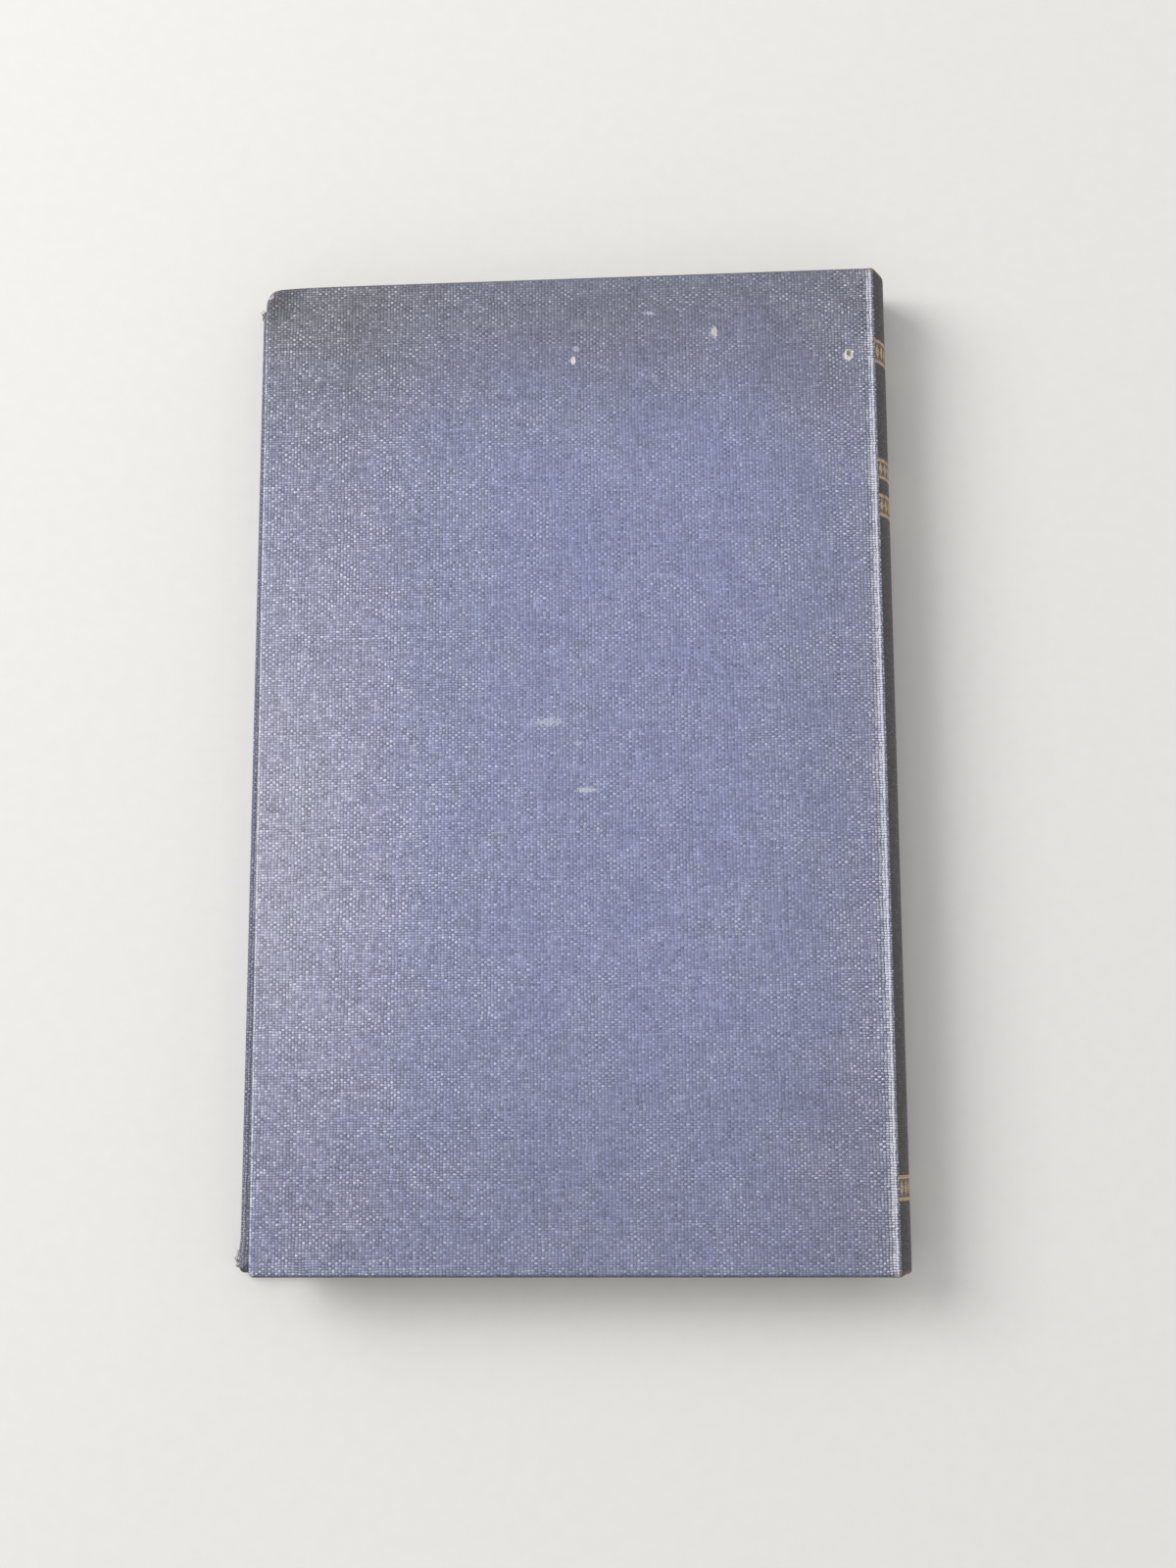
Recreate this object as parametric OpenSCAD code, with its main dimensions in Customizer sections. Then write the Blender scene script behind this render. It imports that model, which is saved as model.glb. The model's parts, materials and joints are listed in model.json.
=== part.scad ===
// Cloth-bound hardback book, closed and lying on its front cover.
// X runs from the fore edge to the spine, Y from the tail to the head, Z upwards.
// The back is rounded, the leaves are backed into shoulders, and the spine leans with use,
// so the front cover sits further towards the fore edge than the rear one.

/* [Cover] */
// Height of the covers, tail to head
cover_h = 204; // [150:1:300]
// Width of the rear cover, fore edge to spine ridge
cover_w = 127; // [90:1:220]
// Thickness of the closed book
book_t = 15; // [12:0.5:40]
// Thickness of one cover board
board_t = 2.2; // [1.6:0.1:3]
// Rounding along the edges of the covered boards
edge_r = 0.9; // [0.6:0.05:1.2]
// Corner radius of the covered boards
corner_r = 1; // [0.9:0.1:4]
// Corner radius of the knocked corner, at the head of the rear cover
knocked_r = 3.2; // [0.9:0.1:6]

/* [Cloth] */
// Thickness of the covering cloth
cloth_t = 0.4; // [0.25:0.05:0.5]
// Width of the cloth turned in over the board edges
turn_in = 15; // [10:0.5:25]
// Length of cloth that rolls over the board edge into the joint
lip_w = 0.3; // [0.1:0.05:0.4]
// Depth of that rolled lip
lip_d = 1.4; // [1:0.1:1.6]

/* [Spine] */
// Shift of the front cover towards the fore edge, from the leaning spine
lean = 4; // [0:0.25:5]
// Extra shift of the front cover at the tail over the head
front_skew = 1.3; // [0:0.1:2.5]
// Height of the rounded back over the line between its ridges
spine_round = 4.5; // [3:0.1:5]
// Radius of the cloth over each ridge
ridge_r = 0.9; // [0.7:0.05:1]
// How far the ridges lie below the faces of the covers
ridge_drop = 0.2; // [0:0.05:0.4]
// Thickness of the card inlay inside the spine cloth
inlay_t = 0.4; // [0.3:0.05:0.5]
// Cloth ridge left free beside the inlay
inlay_trim = 0.5; // [0.4:0.1:2]
// Back left free beside the lining and the turned-in cloth
lining_trim = 3.4; // [3.2:0.1:5]
// Air between the lined back and the spine cloth
hollow_gap = 0.15; // [0.1:0.05:0.5]

/* [Joints] */
// Gap between a board edge and the shoulder of the leaves
joint_gap = 0.9; // [0.7:0.05:1.2]
// Gap between a board edge and the cloth ridge of the spine
crease_w = 0.8; // [0.7:0.05:1]
// Clearance of an opened board from the rounded back
swing_gap = 0.75; // [0.6:0.05:1.5]

/* [Leaves] */
// Distance from the head and tail of the covers to the leaves
square_h = 3.2; // [2:0.1:6]
// Distance from the fore edge of the rear cover to the leaves
square_w = 3.5; // [2:0.1:6]
// Thickness of an endpaper
paper_t = 0.15; // [0.1:0.05:0.3]
// Air between a cover and its flyleaf
leaf_gap = 0.1; // [0.05:0.05:0.3]

/* [Back linings] */
// Thickness of the mull
mull_t = 0.2; // [0.15:0.05:0.3]
// Distance from the turned-in cloth to the mull
mull_margin = 0.7; // [0.5:0.1:20]
// Width of the mull pasted to each board
mull_flange = 25; // [10:1:40]
// Thickness of the paper lining over the mull
lining_t = 0.15; // [0.1:0.05:0.2]
// Radius of the bead along a headband
band_r = 0.75; // [0.5:0.05:0.9]
// Back left free beside a headband
band_trim = 2; // [1:0.1:4]

/* [Hidden] */
$fn = 96;

cloth_colour = "#6F7691";
spine_colour = "#3A3B45";
board_colour = "#9B8F7E";
page_colour = "#E9DFC6";
end_colour = "#EFE6D0";
mull_colour = "#DDD6C2";
kraft_colour = "#B08D62";
card_colour = "#C9BFA8";
band_colour = "#A8413A";

// Length that reaches past the whole book
reach = 3 * (cover_h + cover_w + book_t);

// Layers of a cover, counted from its outside
board_in = cloth_t + board_t;
turn_face = board_in + cloth_t;
cover_t = turn_face + paper_t;

// Levels of the leaves
leaves_bottom = cover_t + leaf_gap + paper_t;
leaves_top = book_t - leaves_bottom;
block_h = cover_h - 2 * square_h;
mull_h = cover_h - 2 * (turn_in + mull_margin);

function unit(v) = v / norm(v);
function polar(a) = [cos(a), sin(a)];
function angle_of(v) = atan2(v[1], v[0]);
function arc_radius(chord, rise) = (chord * chord / 4 + rise * rise) / (2 * rise);
function degrees_along(length, radius) = length / radius * 180 / PI;
function circle_x(centre, radius, z) = centre[0] + sqrt(radius * radius - (z - centre[1]) ^ 2);

// Outside of the rounded back, from ridge to ridge
ridge_chord = [lean, book_t - 2 * ridge_drop];
out_dir = unit([ridge_chord[1], -ridge_chord[0]]);
spine_r = arc_radius(norm(ridge_chord), spine_round);
spine_bulge = spine_r - lean / 2 - (spine_r - spine_round) * out_dir[0];

// Places across the book, with the middle of its whole width at zero
book_w = lean + front_skew / 2 + cover_w + spine_bulge;
rear_fore_x = -book_w / 2 + lean + front_skew / 2;
front_fore_x = rear_fore_x - lean;
ridge_top = [rear_fore_x + cover_w, book_t - ridge_drop];
ridge_bottom = ridge_top - ridge_chord;
spine_c = (ridge_top + ridge_bottom) / 2 - (spine_r - spine_round) * out_dir;

// Centres of the small arcs over the ridges, tangent inside the big one
function bead_at(z) = [circle_x(spine_c, spine_r - ridge_r, z), z];
bead_top = bead_at(book_t - ridge_drop - ridge_r);
bead_bottom = bead_at(ridge_drop + ridge_r);
top_angle = angle_of(bead_top - spine_c);
bottom_angle = angle_of(bead_bottom - spine_c);

// Edges of the boards and of the shoulders beside them
rear_edge_x = bead_top[0] - ridge_r - crease_w;
front_edge_x = bead_bottom[0] - ridge_r - crease_w;
rear_shoulder_x = rear_edge_x + joint_gap;
front_shoulder_x = front_edge_x + joint_gap;

// Hinge axes, each at the middle of its cover's thickness
rear_axis = [
    (rear_edge_x + circle_x(spine_c, spine_r, book_t - cover_t) + swing_gap) / 2,
    book_t - cover_t / 2
];
front_axis = [
    (front_edge_x + circle_x(spine_c, spine_r, cover_t) + swing_gap) / 2,
    cover_t / 2
];

// Back of the leaves, under the layers of the spine
ridge_clear = 0.1;
block_ridge_top = bead_top - [0, ridge_clear];
block_ridge_bottom = bead_bottom + [0, ridge_clear];
block_chord = block_ridge_top - block_ridge_bottom;
block_dir = unit([block_chord[1], -block_chord[0]]);
block_mid = (block_ridge_top + block_ridge_bottom) / 2;
turned_depth = cloth_t + inlay_t + cloth_t;
spine_depth = turned_depth + hollow_gap + lining_t + mull_t;
spine_mid = (ridge_top + ridge_bottom) / 2 + (spine_round - spine_depth) * out_dir;
block_round = (spine_mid - block_mid) * block_dir;
block_r = arc_radius(norm(block_chord), block_round);
block_c = block_mid - (block_r - block_round) * block_dir;
block_top_angle = angle_of(block_ridge_top - block_c);
block_bottom_angle = angle_of(block_ridge_bottom - block_c);

// Fore edges of the leaves, where the hollow meets the flat faces
leaf_fore_top_x = rear_fore_x + square_w;
page_w = circle_x(block_c, block_r, leaves_top) - leaf_fore_top_x;
leaf_fore_bottom_x = circle_x(block_c, block_r, leaves_bottom) - page_w;

// Sweeps a section drawn in X and Z along Y
module along_y(y_from, y_to) {
    translate([0, y_to, 0])
        rotate([90, 0, 0])
            linear_extrude(y_to - y_from)
                children();
}

// Sweeps a section drawn in Y and Z along X
module along_x(x_from, x_to) {
    translate([x_from, 0, 0])
        rotate([90, 0, 90])
            linear_extrude(x_to - x_from)
                children();
}

// Box from its lowest and highest corners
module box(low, high) {
    translate(low)
        cube(high - low);
}

// Part of the plane seen from a centre between two angles
module wedge(centre, from_angle, to_angle) {
    middle_angle = (from_angle + to_angle) / 2;
    polygon([
        centre,
        centre + reach * polar(from_angle),
        centre + 2 * reach * polar(middle_angle),
        centre + reach * polar(to_angle)
    ]);
}

// Ring between two radii
module ring(centre, inner_r, outer_r) {
    translate(centre)
        difference() {
            circle(outer_r);
            circle(inner_r);
        }
}

// Layer of the spine between two depths, ending short of the ridges
module spine_layer(from_depth, to_depth, trim) {
    trim_angle = degrees_along(trim, spine_r);
    intersection() {
        ring(spine_c, spine_r - to_depth, spine_r - from_depth);
        wedge(spine_c, bottom_angle + trim_angle, top_angle - trim_angle);
    }
}

// Layer on the back of the leaves, from a height to a height over it
module back_layer(from_height, to_height, trim) {
    trim_angle = degrees_along(trim, block_r);
    intersection() {
        ring(block_c, block_r + from_height, block_r + to_height);
        wedge(block_c, block_bottom_angle + trim_angle, block_top_angle - trim_angle);
    }
}

// Area inside the spine cloth at a depth: the big arc and the two ridges
module spine_area(depth) {
    intersection() {
        translate(spine_c)
            circle(spine_r - depth);
        wedge(spine_c, bottom_angle, top_angle);
    }
    translate(bead_top)
        circle(ridge_r - depth);
    translate(bead_bottom)
        circle(ridge_r - depth);
}

// Section of the spine cloth, hooked over both ridges into the joints
module spine_band() {
    hook = 2 * ridge_r;
    intersection() {
        difference() {
            spine_area(0);
            spine_area(cloth_t);
        }
        polygon([
            bead_top,
            bead_top - [hook, 0],
            bead_top + [-hook, reach],
            bead_top + [reach, reach],
            bead_bottom + [reach, -reach],
            bead_bottom + [-hook, -reach],
            bead_bottom - [hook, 0],
            bead_bottom
        ]);
    }
}

// Section of the leaves: shoulders, rounded back and hollow fore edge
module leaves_section() {
    fore_c = block_c - [page_w, 0];
    difference() {
        intersection() {
            polygon([
                [fore_c[0], leaves_bottom],
                [front_shoulder_x, leaves_bottom],
                [front_shoulder_x, block_ridge_bottom[1]],
                [front_shoulder_x + reach, block_ridge_bottom[1]],
                [front_shoulder_x + reach, block_ridge_top[1]],
                [rear_shoulder_x, block_ridge_top[1]],
                [rear_shoulder_x, leaves_top],
                [fore_c[0], leaves_top]
            ]);
            union() {
                translate(block_c)
                    circle(block_r);
                translate([fore_c[0], -reach])
                    square([page_w, 2 * reach]);
            }
        }
        translate(fore_c)
            circle(block_r);
    }
}

// Slab section with rounded corners, from its lowest and highest corners
module rounded_slab(low, high, r) {
    translate([low[0] + r, low[1]])
        square([high[0] - low[0] - 2 * r, high[1] - low[1]]);
    translate([low[0], low[1] + r])
        square([high[0] - low[0], high[1] - low[1] - 2 * r]);
    for (x = [low[0] + r, high[0] - r]) {
        for (z = [low[1] + r, high[1] - r]) {
            translate([x, z])
                circle(r);
        }
    }
}

// Outline of a cover, its fore edge askew, set in all round by a distance
module cover_outline(fore_x, skew, right_x, head_r, tail_r, inset) {
    slope = atan2(skew, cover_h);
    end_y = cover_h / 2 - inset;
    head_y = end_y - (head_r - inset);
    tail_y = -end_y + (tail_r - inset);
    head_x = fore_x + head_r / cos(slope) + head_y * tan(slope);
    tail_x = fore_x + tail_r / cos(slope) + tail_y * tan(slope);
    head_side = [head_x, head_y] - (head_r - inset) * [cos(slope), -sin(slope)];
    tail_side = [tail_x, tail_y] - (tail_r - inset) * [cos(slope), -sin(slope)];
    polygon([
        [right_x, -end_y],
        [right_x, end_y],
        [head_x, end_y],
        head_side,
        tail_side,
        [tail_x, -end_y]
    ]);
    translate([head_x, head_y])
        circle(head_r - inset);
    translate([tail_x, tail_y])
        circle(tail_r - inset);
}

// Plate with soft edges: the outline, and the rounded sections both ways
module soft_plate(fore_x, skew, right_x, head_r, tail_r, low_z, high_z, inset) {
    slope = atan2(skew, cover_h);
    r = edge_r - inset;
    intersection() {
        translate([0, 0, low_z])
            linear_extrude(high_z - low_z)
                cover_outline(fore_x, skew, right_x, head_r, tail_r, inset);
        translate([fore_x, 0, 0])
            rotate([0, 0, -slope])
                along_y(-cover_h, cover_h)
                    rounded_slab([inset, low_z], [right_x - fore_x + skew, high_z], r);
        along_x(fore_x - skew, right_x)
            rounded_slab([-cover_h / 2 + inset, low_z], [cover_h / 2 - inset, high_z], r);
    }
}

// Board of one cover, lying with its outside down
module board_solid(fore_x, skew, edge_x, head_r, tail_r) {
    soft_plate(fore_x, skew, edge_x, head_r, tail_r, cloth_t, board_in, cloth_t);
}

// Covering cloth of one board: outside, three wrapped edges, turn-ins and the lip
module cloth_solid(fore_x, skew, edge_x, head_r, tail_r) {
    difference() {
        soft_plate(fore_x, skew, edge_x + lip_w, head_r, tail_r, 0, turn_face, 0);
        board_solid(fore_x, skew, edge_x, head_r, tail_r);
        box(
            [fore_x + turn_in, -cover_h / 2 + turn_in, board_in],
            [edge_x + reach, cover_h / 2 - turn_in, book_t]
        );
        box([edge_x, -reach, lip_d], [edge_x + reach, reach, book_t]);
    }
}

// Mull pasted to the inside of one board
module mull_flange_solid(edge_x) {
    box([edge_x - mull_flange, -mull_h / 2, board_in], [edge_x, mull_h / 2, board_in + mull_t]);
}

// Pastedown of one board, following the step of the turn-ins and of the mull
module pastedown_solid(fore_x, edge_x) {
    left_x = fore_x + square_w;
    turn_x = fore_x + turn_in;
    turn_y = cover_h / 2 - turn_in;
    difference() {
        box([left_x, -block_h / 2, board_in], [edge_x, block_h / 2, cover_t]);
        for (step = [[0, edge_x - mull_flange - paper_t], [mull_t, edge_x + reach]]) {
            box(
                [turn_x + paper_t, -turn_y + paper_t, board_in + step[0] + paper_t],
                [step[1], turn_y - paper_t, book_t]
            );
        }
        difference() {
            box([left_x - reach, -reach, 0], [edge_x + reach, reach, turn_face]);
            box([turn_x, -turn_y, -book_t], [edge_x + 2 * reach, turn_y, book_t]);
        }
        mull_flange_solid(edge_x);
    }
}

// Turns a piece made for the front cover over to the rear one
module rear_side() {
    translate([0, 0, book_t])
        mirror([0, 0, 1])
            children();
}

// Bead of a headband, standing on one end of the leaves
module band_solid(end) {
    trim_angle = degrees_along(band_trim, block_r);
    start_angle = block_bottom_angle + trim_angle;
    translate([block_c[0], end * (block_h / 2 + band_r), block_c[1]])
        rotate([90, 0, 0])
            rotate([0, 0, start_angle])
                rotate_extrude(angle = block_top_angle - trim_angle - start_angle)
                    translate([block_r - band_r, 0])
                        circle(band_r);
}

// Leaves of the book, sewn and glued, as one solid
module text_block() {
    color(page_colour)
        along_y(-block_h / 2, block_h / 2)
            leaves_section();
}

// Free leaf of the front endpaper
module front_flyleaf() {
    color(end_colour)
        box(
            [leaf_fore_bottom_x, -block_h / 2, leaves_bottom - paper_t],
            [front_shoulder_x, block_h / 2, leaves_bottom]
        );
}

// Free leaf of the rear endpaper
module rear_flyleaf() {
    color(end_colour)
        box(
            [leaf_fore_top_x, -block_h / 2, leaves_top],
            [rear_shoulder_x, block_h / 2, leaves_top + paper_t]
        );
}

// Mull glued over the back
module spine_mull() {
    color(mull_colour)
        along_y(-mull_h / 2, mull_h / 2)
            back_layer(0, mull_t, 0);
}

// Paper lining of the back, laid over the mull and down to the leaves past its ends
module spine_lining() {
    color(kraft_colour)
        difference() {
            union() {
                along_y(-block_h / 2, block_h / 2)
                    back_layer(0, lining_t, lining_trim);
                along_y(-mull_h / 2 - lining_t, mull_h / 2 + lining_t)
                    back_layer(0, mull_t + lining_t, lining_trim);
            }
            along_y(-mull_h / 2, mull_h / 2)
                back_layer(-mull_t, mull_t, 0);
        }
}

// Headband
module head_band() {
    color(band_colour)
        band_solid(1);
}

// Tailband
module tail_band() {
    color(band_colour)
        band_solid(-1);
}

// Card inlay inside the spine cloth
module spine_inlay() {
    color(card_colour)
        along_y(-cover_h / 2 + cloth_t, cover_h / 2 - cloth_t)
            spine_layer(cloth_t, cloth_t + inlay_t, inlay_trim);
}

// Spine part of the covering cloth, turned in over both ends of the inlay
module spine_cloth() {
    color(spine_colour) {
        along_y(-cover_h / 2, cover_h / 2)
            spine_band();
        for (tail = [0, 1]) {
            mirror([0, tail, 0]) {
                along_y(cover_h / 2 - cloth_t, cover_h / 2)
                    spine_layer(0, turned_depth, inlay_trim);
                along_y(cover_h / 2 - turn_in, cover_h / 2)
                    spine_layer(cloth_t + inlay_t, turned_depth, lining_trim);
            }
        }
    }
}

// Front cover board
module front_board() {
    color(board_colour)
        board_solid(front_fore_x, front_skew, front_edge_x, corner_r, corner_r);
}

// Front part of the covering cloth
module front_cloth() {
    color(cloth_colour)
        cloth_solid(front_fore_x, front_skew, front_edge_x, corner_r, corner_r);
}

// Mull on the front board
module front_mull() {
    color(mull_colour)
        mull_flange_solid(front_edge_x);
}

// Pasted leaf of the front endpaper
module front_pastedown() {
    color(end_colour)
        pastedown_solid(front_fore_x, front_edge_x);
}

// Rear cover board
module rear_board() {
    color(board_colour)
        rear_side()
            board_solid(rear_fore_x, 0, rear_edge_x, knocked_r, corner_r);
}

// Rear part of the covering cloth
module rear_cloth() {
    color(cloth_colour)
        rear_side()
            cloth_solid(rear_fore_x, 0, rear_edge_x, knocked_r, corner_r);
}

// Mull on the rear board
module rear_mull() {
    color(mull_colour)
        rear_side()
            mull_flange_solid(rear_edge_x);
}

// Pasted leaf of the rear endpaper
module rear_pastedown() {
    color(end_colour)
        rear_side()
            pastedown_solid(rear_fore_x, rear_edge_x);
}

text_block();
front_flyleaf();
rear_flyleaf();
spine_mull();
spine_lining();
head_band();
tail_band();
spine_inlay();
spine_cloth();
front_board();
front_cloth();
front_mull();
front_pastedown();
rear_board();
rear_cloth();
rear_mull();
rear_pastedown();
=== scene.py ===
"""Looks of a cloth-bound hardback book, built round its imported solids.

The book lies closed on its front cover. Sizes in the classes are in millimetres, in the
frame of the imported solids, and meshes are written in metres.
"""

import json
import logging
import math
from dataclasses import dataclass, field
from enum import Enum
from functools import cache
from typing import NamedTuple, Sequence

import bmesh
import bpy
import numpy as np
from mathutils import Matrix, Vector


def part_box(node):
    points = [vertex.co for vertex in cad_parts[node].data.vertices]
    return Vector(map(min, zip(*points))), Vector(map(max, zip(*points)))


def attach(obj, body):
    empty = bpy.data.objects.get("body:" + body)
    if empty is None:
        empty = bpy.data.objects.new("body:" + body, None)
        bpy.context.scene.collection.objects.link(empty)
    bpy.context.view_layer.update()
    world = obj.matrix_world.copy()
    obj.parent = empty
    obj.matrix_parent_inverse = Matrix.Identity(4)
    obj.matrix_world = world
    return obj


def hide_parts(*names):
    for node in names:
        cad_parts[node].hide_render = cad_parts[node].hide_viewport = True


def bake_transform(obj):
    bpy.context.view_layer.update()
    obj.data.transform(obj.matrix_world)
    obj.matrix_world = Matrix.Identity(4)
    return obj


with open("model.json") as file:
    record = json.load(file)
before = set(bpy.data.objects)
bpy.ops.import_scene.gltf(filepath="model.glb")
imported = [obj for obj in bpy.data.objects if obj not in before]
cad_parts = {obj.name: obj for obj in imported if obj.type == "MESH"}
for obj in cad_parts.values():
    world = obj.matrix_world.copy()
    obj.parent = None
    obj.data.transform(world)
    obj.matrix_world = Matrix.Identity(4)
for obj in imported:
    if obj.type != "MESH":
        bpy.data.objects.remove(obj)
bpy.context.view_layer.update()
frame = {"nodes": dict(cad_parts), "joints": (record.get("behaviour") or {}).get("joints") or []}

log = logging.getLogger("book")

MM = 0.001
FLAT_MAP = "cloth_mm"

Colour = tuple[float, float, float]
Socket, Node, NodeTree = bpy.types.NodeSocket, bpy.types.Node, bpy.types.NodeTree
Thing, Material = bpy.types.Object, bpy.types.Material
FLOAT, VECTOR, INT = "NodeSocketFloat", "NodeSocketVector", "NodeSocketInt"


def srgb(red: float, green: float, blue: float) -> Colour:
    """Linear colour of three display values from 0 to 255."""
    values = [c / 255 for c in (red, green, blue)]
    return tuple(v / 12.92 if v <= 0.04045 else ((v + 0.055) / 1.055) ** 2.4 for v in values)


@cache
def box_mm(node: str) -> tuple[np.ndarray, np.ndarray]:
    """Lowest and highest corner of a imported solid, in millimetres."""
    low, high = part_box(node)
    return np.array(low) / MM, np.array(high) / MM


def polar(degrees: float | np.ndarray) -> np.ndarray:
    """Unit direction in X and Z at an angle from +X."""
    turned = np.radians(degrees)
    return np.stack([np.cos(turned), np.sin(turned)], axis=-1)


def bezier(points: Sequence[Sequence[float]], count: int) -> np.ndarray:
    """Points along a cubic Bezier curve.

    Args:
        points: the four control points.
        count: how many points to return, both ends included.

    Returns:
        An array of count rows.
    """
    t = np.linspace(0, 1, count)[:, None]
    a, b, c, d = (np.array(p, float) for p in points)
    return (1 - t) ** 3 * a + 3 * (1 - t) ** 2 * t * b + 3 * (1 - t) * t**2 * c + t**3 * d


def normal_of(line: np.ndarray) -> np.ndarray:
    """Unit direction at a right angle to a line in X and Z."""
    return np.array([line[1], -line[0]]) / np.linalg.norm(line)


def arc_radius(chord: float, rise: float) -> float:
    """Radius of an arc, from its chord's length and its height over it."""
    return ((chord / 2) ** 2 + rise**2) / (2 * rise)


def angle_of(away: np.ndarray) -> float:
    """Angle of a direction in X and Z from +X, in degrees."""
    return math.degrees(math.atan2(away[1], away[0]))


def smooth(values: np.ndarray | float, low: float, high: float) -> np.ndarray:
    """Soft step from 0 at low to 1 at high."""
    t = np.clip((np.asarray(values, float) - low) / (high - low), 0, 1)
    return t * t * (3 - 2 * t)


class Side(Enum):
    """Which cover a piece belongs to."""

    FRONT = "front"
    REAR = "rear"

    @property
    def up(self) -> float:
        """Direction of the cover's outside along Z."""
        return 1.0 if self is Side.REAR else -1.0

    @property
    def body(self) -> str:
        """The body that the cover rides on."""
        return f"{self.value}_cover"


class End(Enum):
    """Which end of the book a piece belongs to."""

    HEAD = "head"
    TAIL = "tail"

    @property
    def out(self) -> float:
        """Direction out of the book's end along Y."""
        return 1.0 if self is End.HEAD else -1.0


class Slot(Enum):
    """Names of material slots, which nothing in this script uses."""

    LEAVES = "leaves"
    ENDPAPER = "endpaper"
    HEADBAND = "headband"
    COVER_CLOTH = "cover_cloth"
    SPINE_CLOTH = "spine_cloth"


@dataclass(frozen=True)
class BookForm:
    """Levels and arcs of the book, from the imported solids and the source's own values."""

    turn_in: float = 15.0
    edge_r: float = 0.9
    lean: float = 4.0
    spine_round: float = 4.5
    ridge_r: float = 0.9
    ridge_drop: float = 0.2
    inlay_t: float = 0.4
    hollow_gap: float = 0.15
    lining_t: float = 0.15
    mull_t: float = 0.2
    mull_flange: float = 25.0
    paper_t: float = 0.15
    ridge_clear: float = 0.1
    front_skew: float = 1.3

    @property
    def thick(self) -> float:
        """Thickness of the closed book."""
        return box_mm("rear_cloth")[1][2]

    @property
    def half_h(self) -> float:
        """Half the height of the covers."""
        return box_mm("rear_cloth")[1][1]

    @property
    def cloth_t(self) -> float:
        """Thickness of the covering cloth."""
        return self.thick - box_mm("rear_board")[1][2]

    @property
    def cover_depth(self) -> float:
        """Depth of a covered board, turn-ins included."""
        low, high = box_mm("rear_board")
        return high[2] - low[2] + 2 * self.cloth_t

    @property
    def half_leaf(self) -> float:
        """Half the height of the leaves."""
        return box_mm("rear_flyleaf")[1][1]

    @property
    def chord(self) -> np.ndarray:
        """Line from the front ridge to the rear one in X and Z."""
        return np.array([self.lean, self.thick - 2 * self.ridge_drop])

    @property
    def ridge_top(self) -> np.ndarray:
        """Theoretical corner of the rear ridge in X and Z.

        Returns:
            Its X and Z.
        """
        low, high = box_mm("spine_cloth")
        bulge = self.spine_r - self.lean / 2 - (self.spine_r - self.spine_round) * self.out_dir[0]
        return np.array([high[0] - bulge, low[2] + self.chord[1]])

    @property
    def out_dir(self) -> np.ndarray:
        """Direction in X and Z out of the leaning spine."""
        return normal_of(self.chord)

    @property
    def spine_r(self) -> float:
        """Radius of the rounded back, outside the cloth."""
        return arc_radius(math.hypot(*self.chord), self.spine_round)

    @property
    def spine_c(self) -> np.ndarray:
        """Centre of the rounded back in X and Z."""
        return self.ridge_top - self.chord / 2 - (self.spine_r - self.spine_round) * self.out_dir

    def bead(self, side: Side) -> np.ndarray:
        """Centre of the small arc over one ridge in X and Z.

        Args:
            side: front or rear.

        Returns:
            Its X and Z.
        """
        inset = self.ridge_drop + self.ridge_r
        z = self.thick - inset if side is Side.REAR else inset
        reach = self.spine_r - self.ridge_r
        return np.array([self.spine_c[0] + math.sqrt(reach**2 - (z - self.spine_c[1]) ** 2), z])

    def bead_angle(self, side: Side) -> float:
        """Angle at which the small arc of a ridge meets the big arc, in degrees."""
        return angle_of(self.bead(side) - self.spine_c)

    def face_z(self, side: Side) -> float:
        """Level of a cover's outside."""
        return self.thick if side is Side.REAR else 0.0

    def level(self, side: Side, depth: float) -> float:
        """Z at a depth under a cover's outside."""
        return self.face_z(side) - side.up * depth

    def fore_x(self, side: Side) -> float:
        """Fore edge of a cover at the middle of its height."""
        low = box_mm(f"{side.value}_cloth")[0][0]
        return low if side is Side.REAR else low + self.front_skew / 2

    def skew(self, side: Side) -> float:
        """How much further a cover's fore edge stands out at the tail than at the head."""
        return 0.0 if side is Side.REAR else self.front_skew

    def edge_x(self, side: Side) -> float:
        """Spine edge of a board."""
        return box_mm(f"{side.value}_board")[1][0]

    def shoulder_x(self, side: Side) -> float:
        """Shoulder of the leaves beside a board."""
        return box_mm(f"{side.value}_flyleaf")[1][0]

    def axis(self, side: Side) -> np.ndarray:
        """Hinge axis of a cover in X and Z."""
        at = next(j["pos_m"] for j in frame["joints"] if j["child"] == side.body)
        return np.array([at[0], at[2]]) / MM

    @property
    def back_chord(self) -> np.ndarray:
        """Line from the front end of the back of the leaves to its rear end in X and Z."""
        return self.back_ridge(Side.REAR) - self.back_ridge(Side.FRONT)

    @property
    def back_middle(self) -> np.ndarray:
        """Middle of that line."""
        return (self.back_ridge(Side.REAR) + self.back_ridge(Side.FRONT)) / 2

    @property
    def back_dir(self) -> np.ndarray:
        """Direction in X and Z out of the back of the leaves."""
        return normal_of(self.back_chord)

    @property
    def back_r(self) -> float:
        """Radius of the back of the leaves."""
        return arc_radius(np.linalg.norm(self.back_chord), self.back_rise)

    @property
    def back_c(self) -> np.ndarray:
        """Centre of the back of the leaves in X and Z."""
        return self.back_middle - (self.back_r - self.back_rise) * self.back_dir

    @property
    def back_rise(self) -> float:
        """Height of the back of the leaves over the line between its ridges.

        Returns:
            The height in millimetres.
        """
        depth = 2 * self.cloth_t + self.inlay_t + self.hollow_gap + self.lining_t + self.mull_t
        crest = self.ridge_top - self.chord / 2 + (self.spine_round - depth) * self.out_dir
        return float((crest - self.back_middle) @ self.back_dir)

    def back_ridge(self, side: Side) -> np.ndarray:
        """Outermost leaf edge under one ridge in X and Z."""
        return self.bead(side) - np.array([0, side.up * self.ridge_clear])

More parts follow.
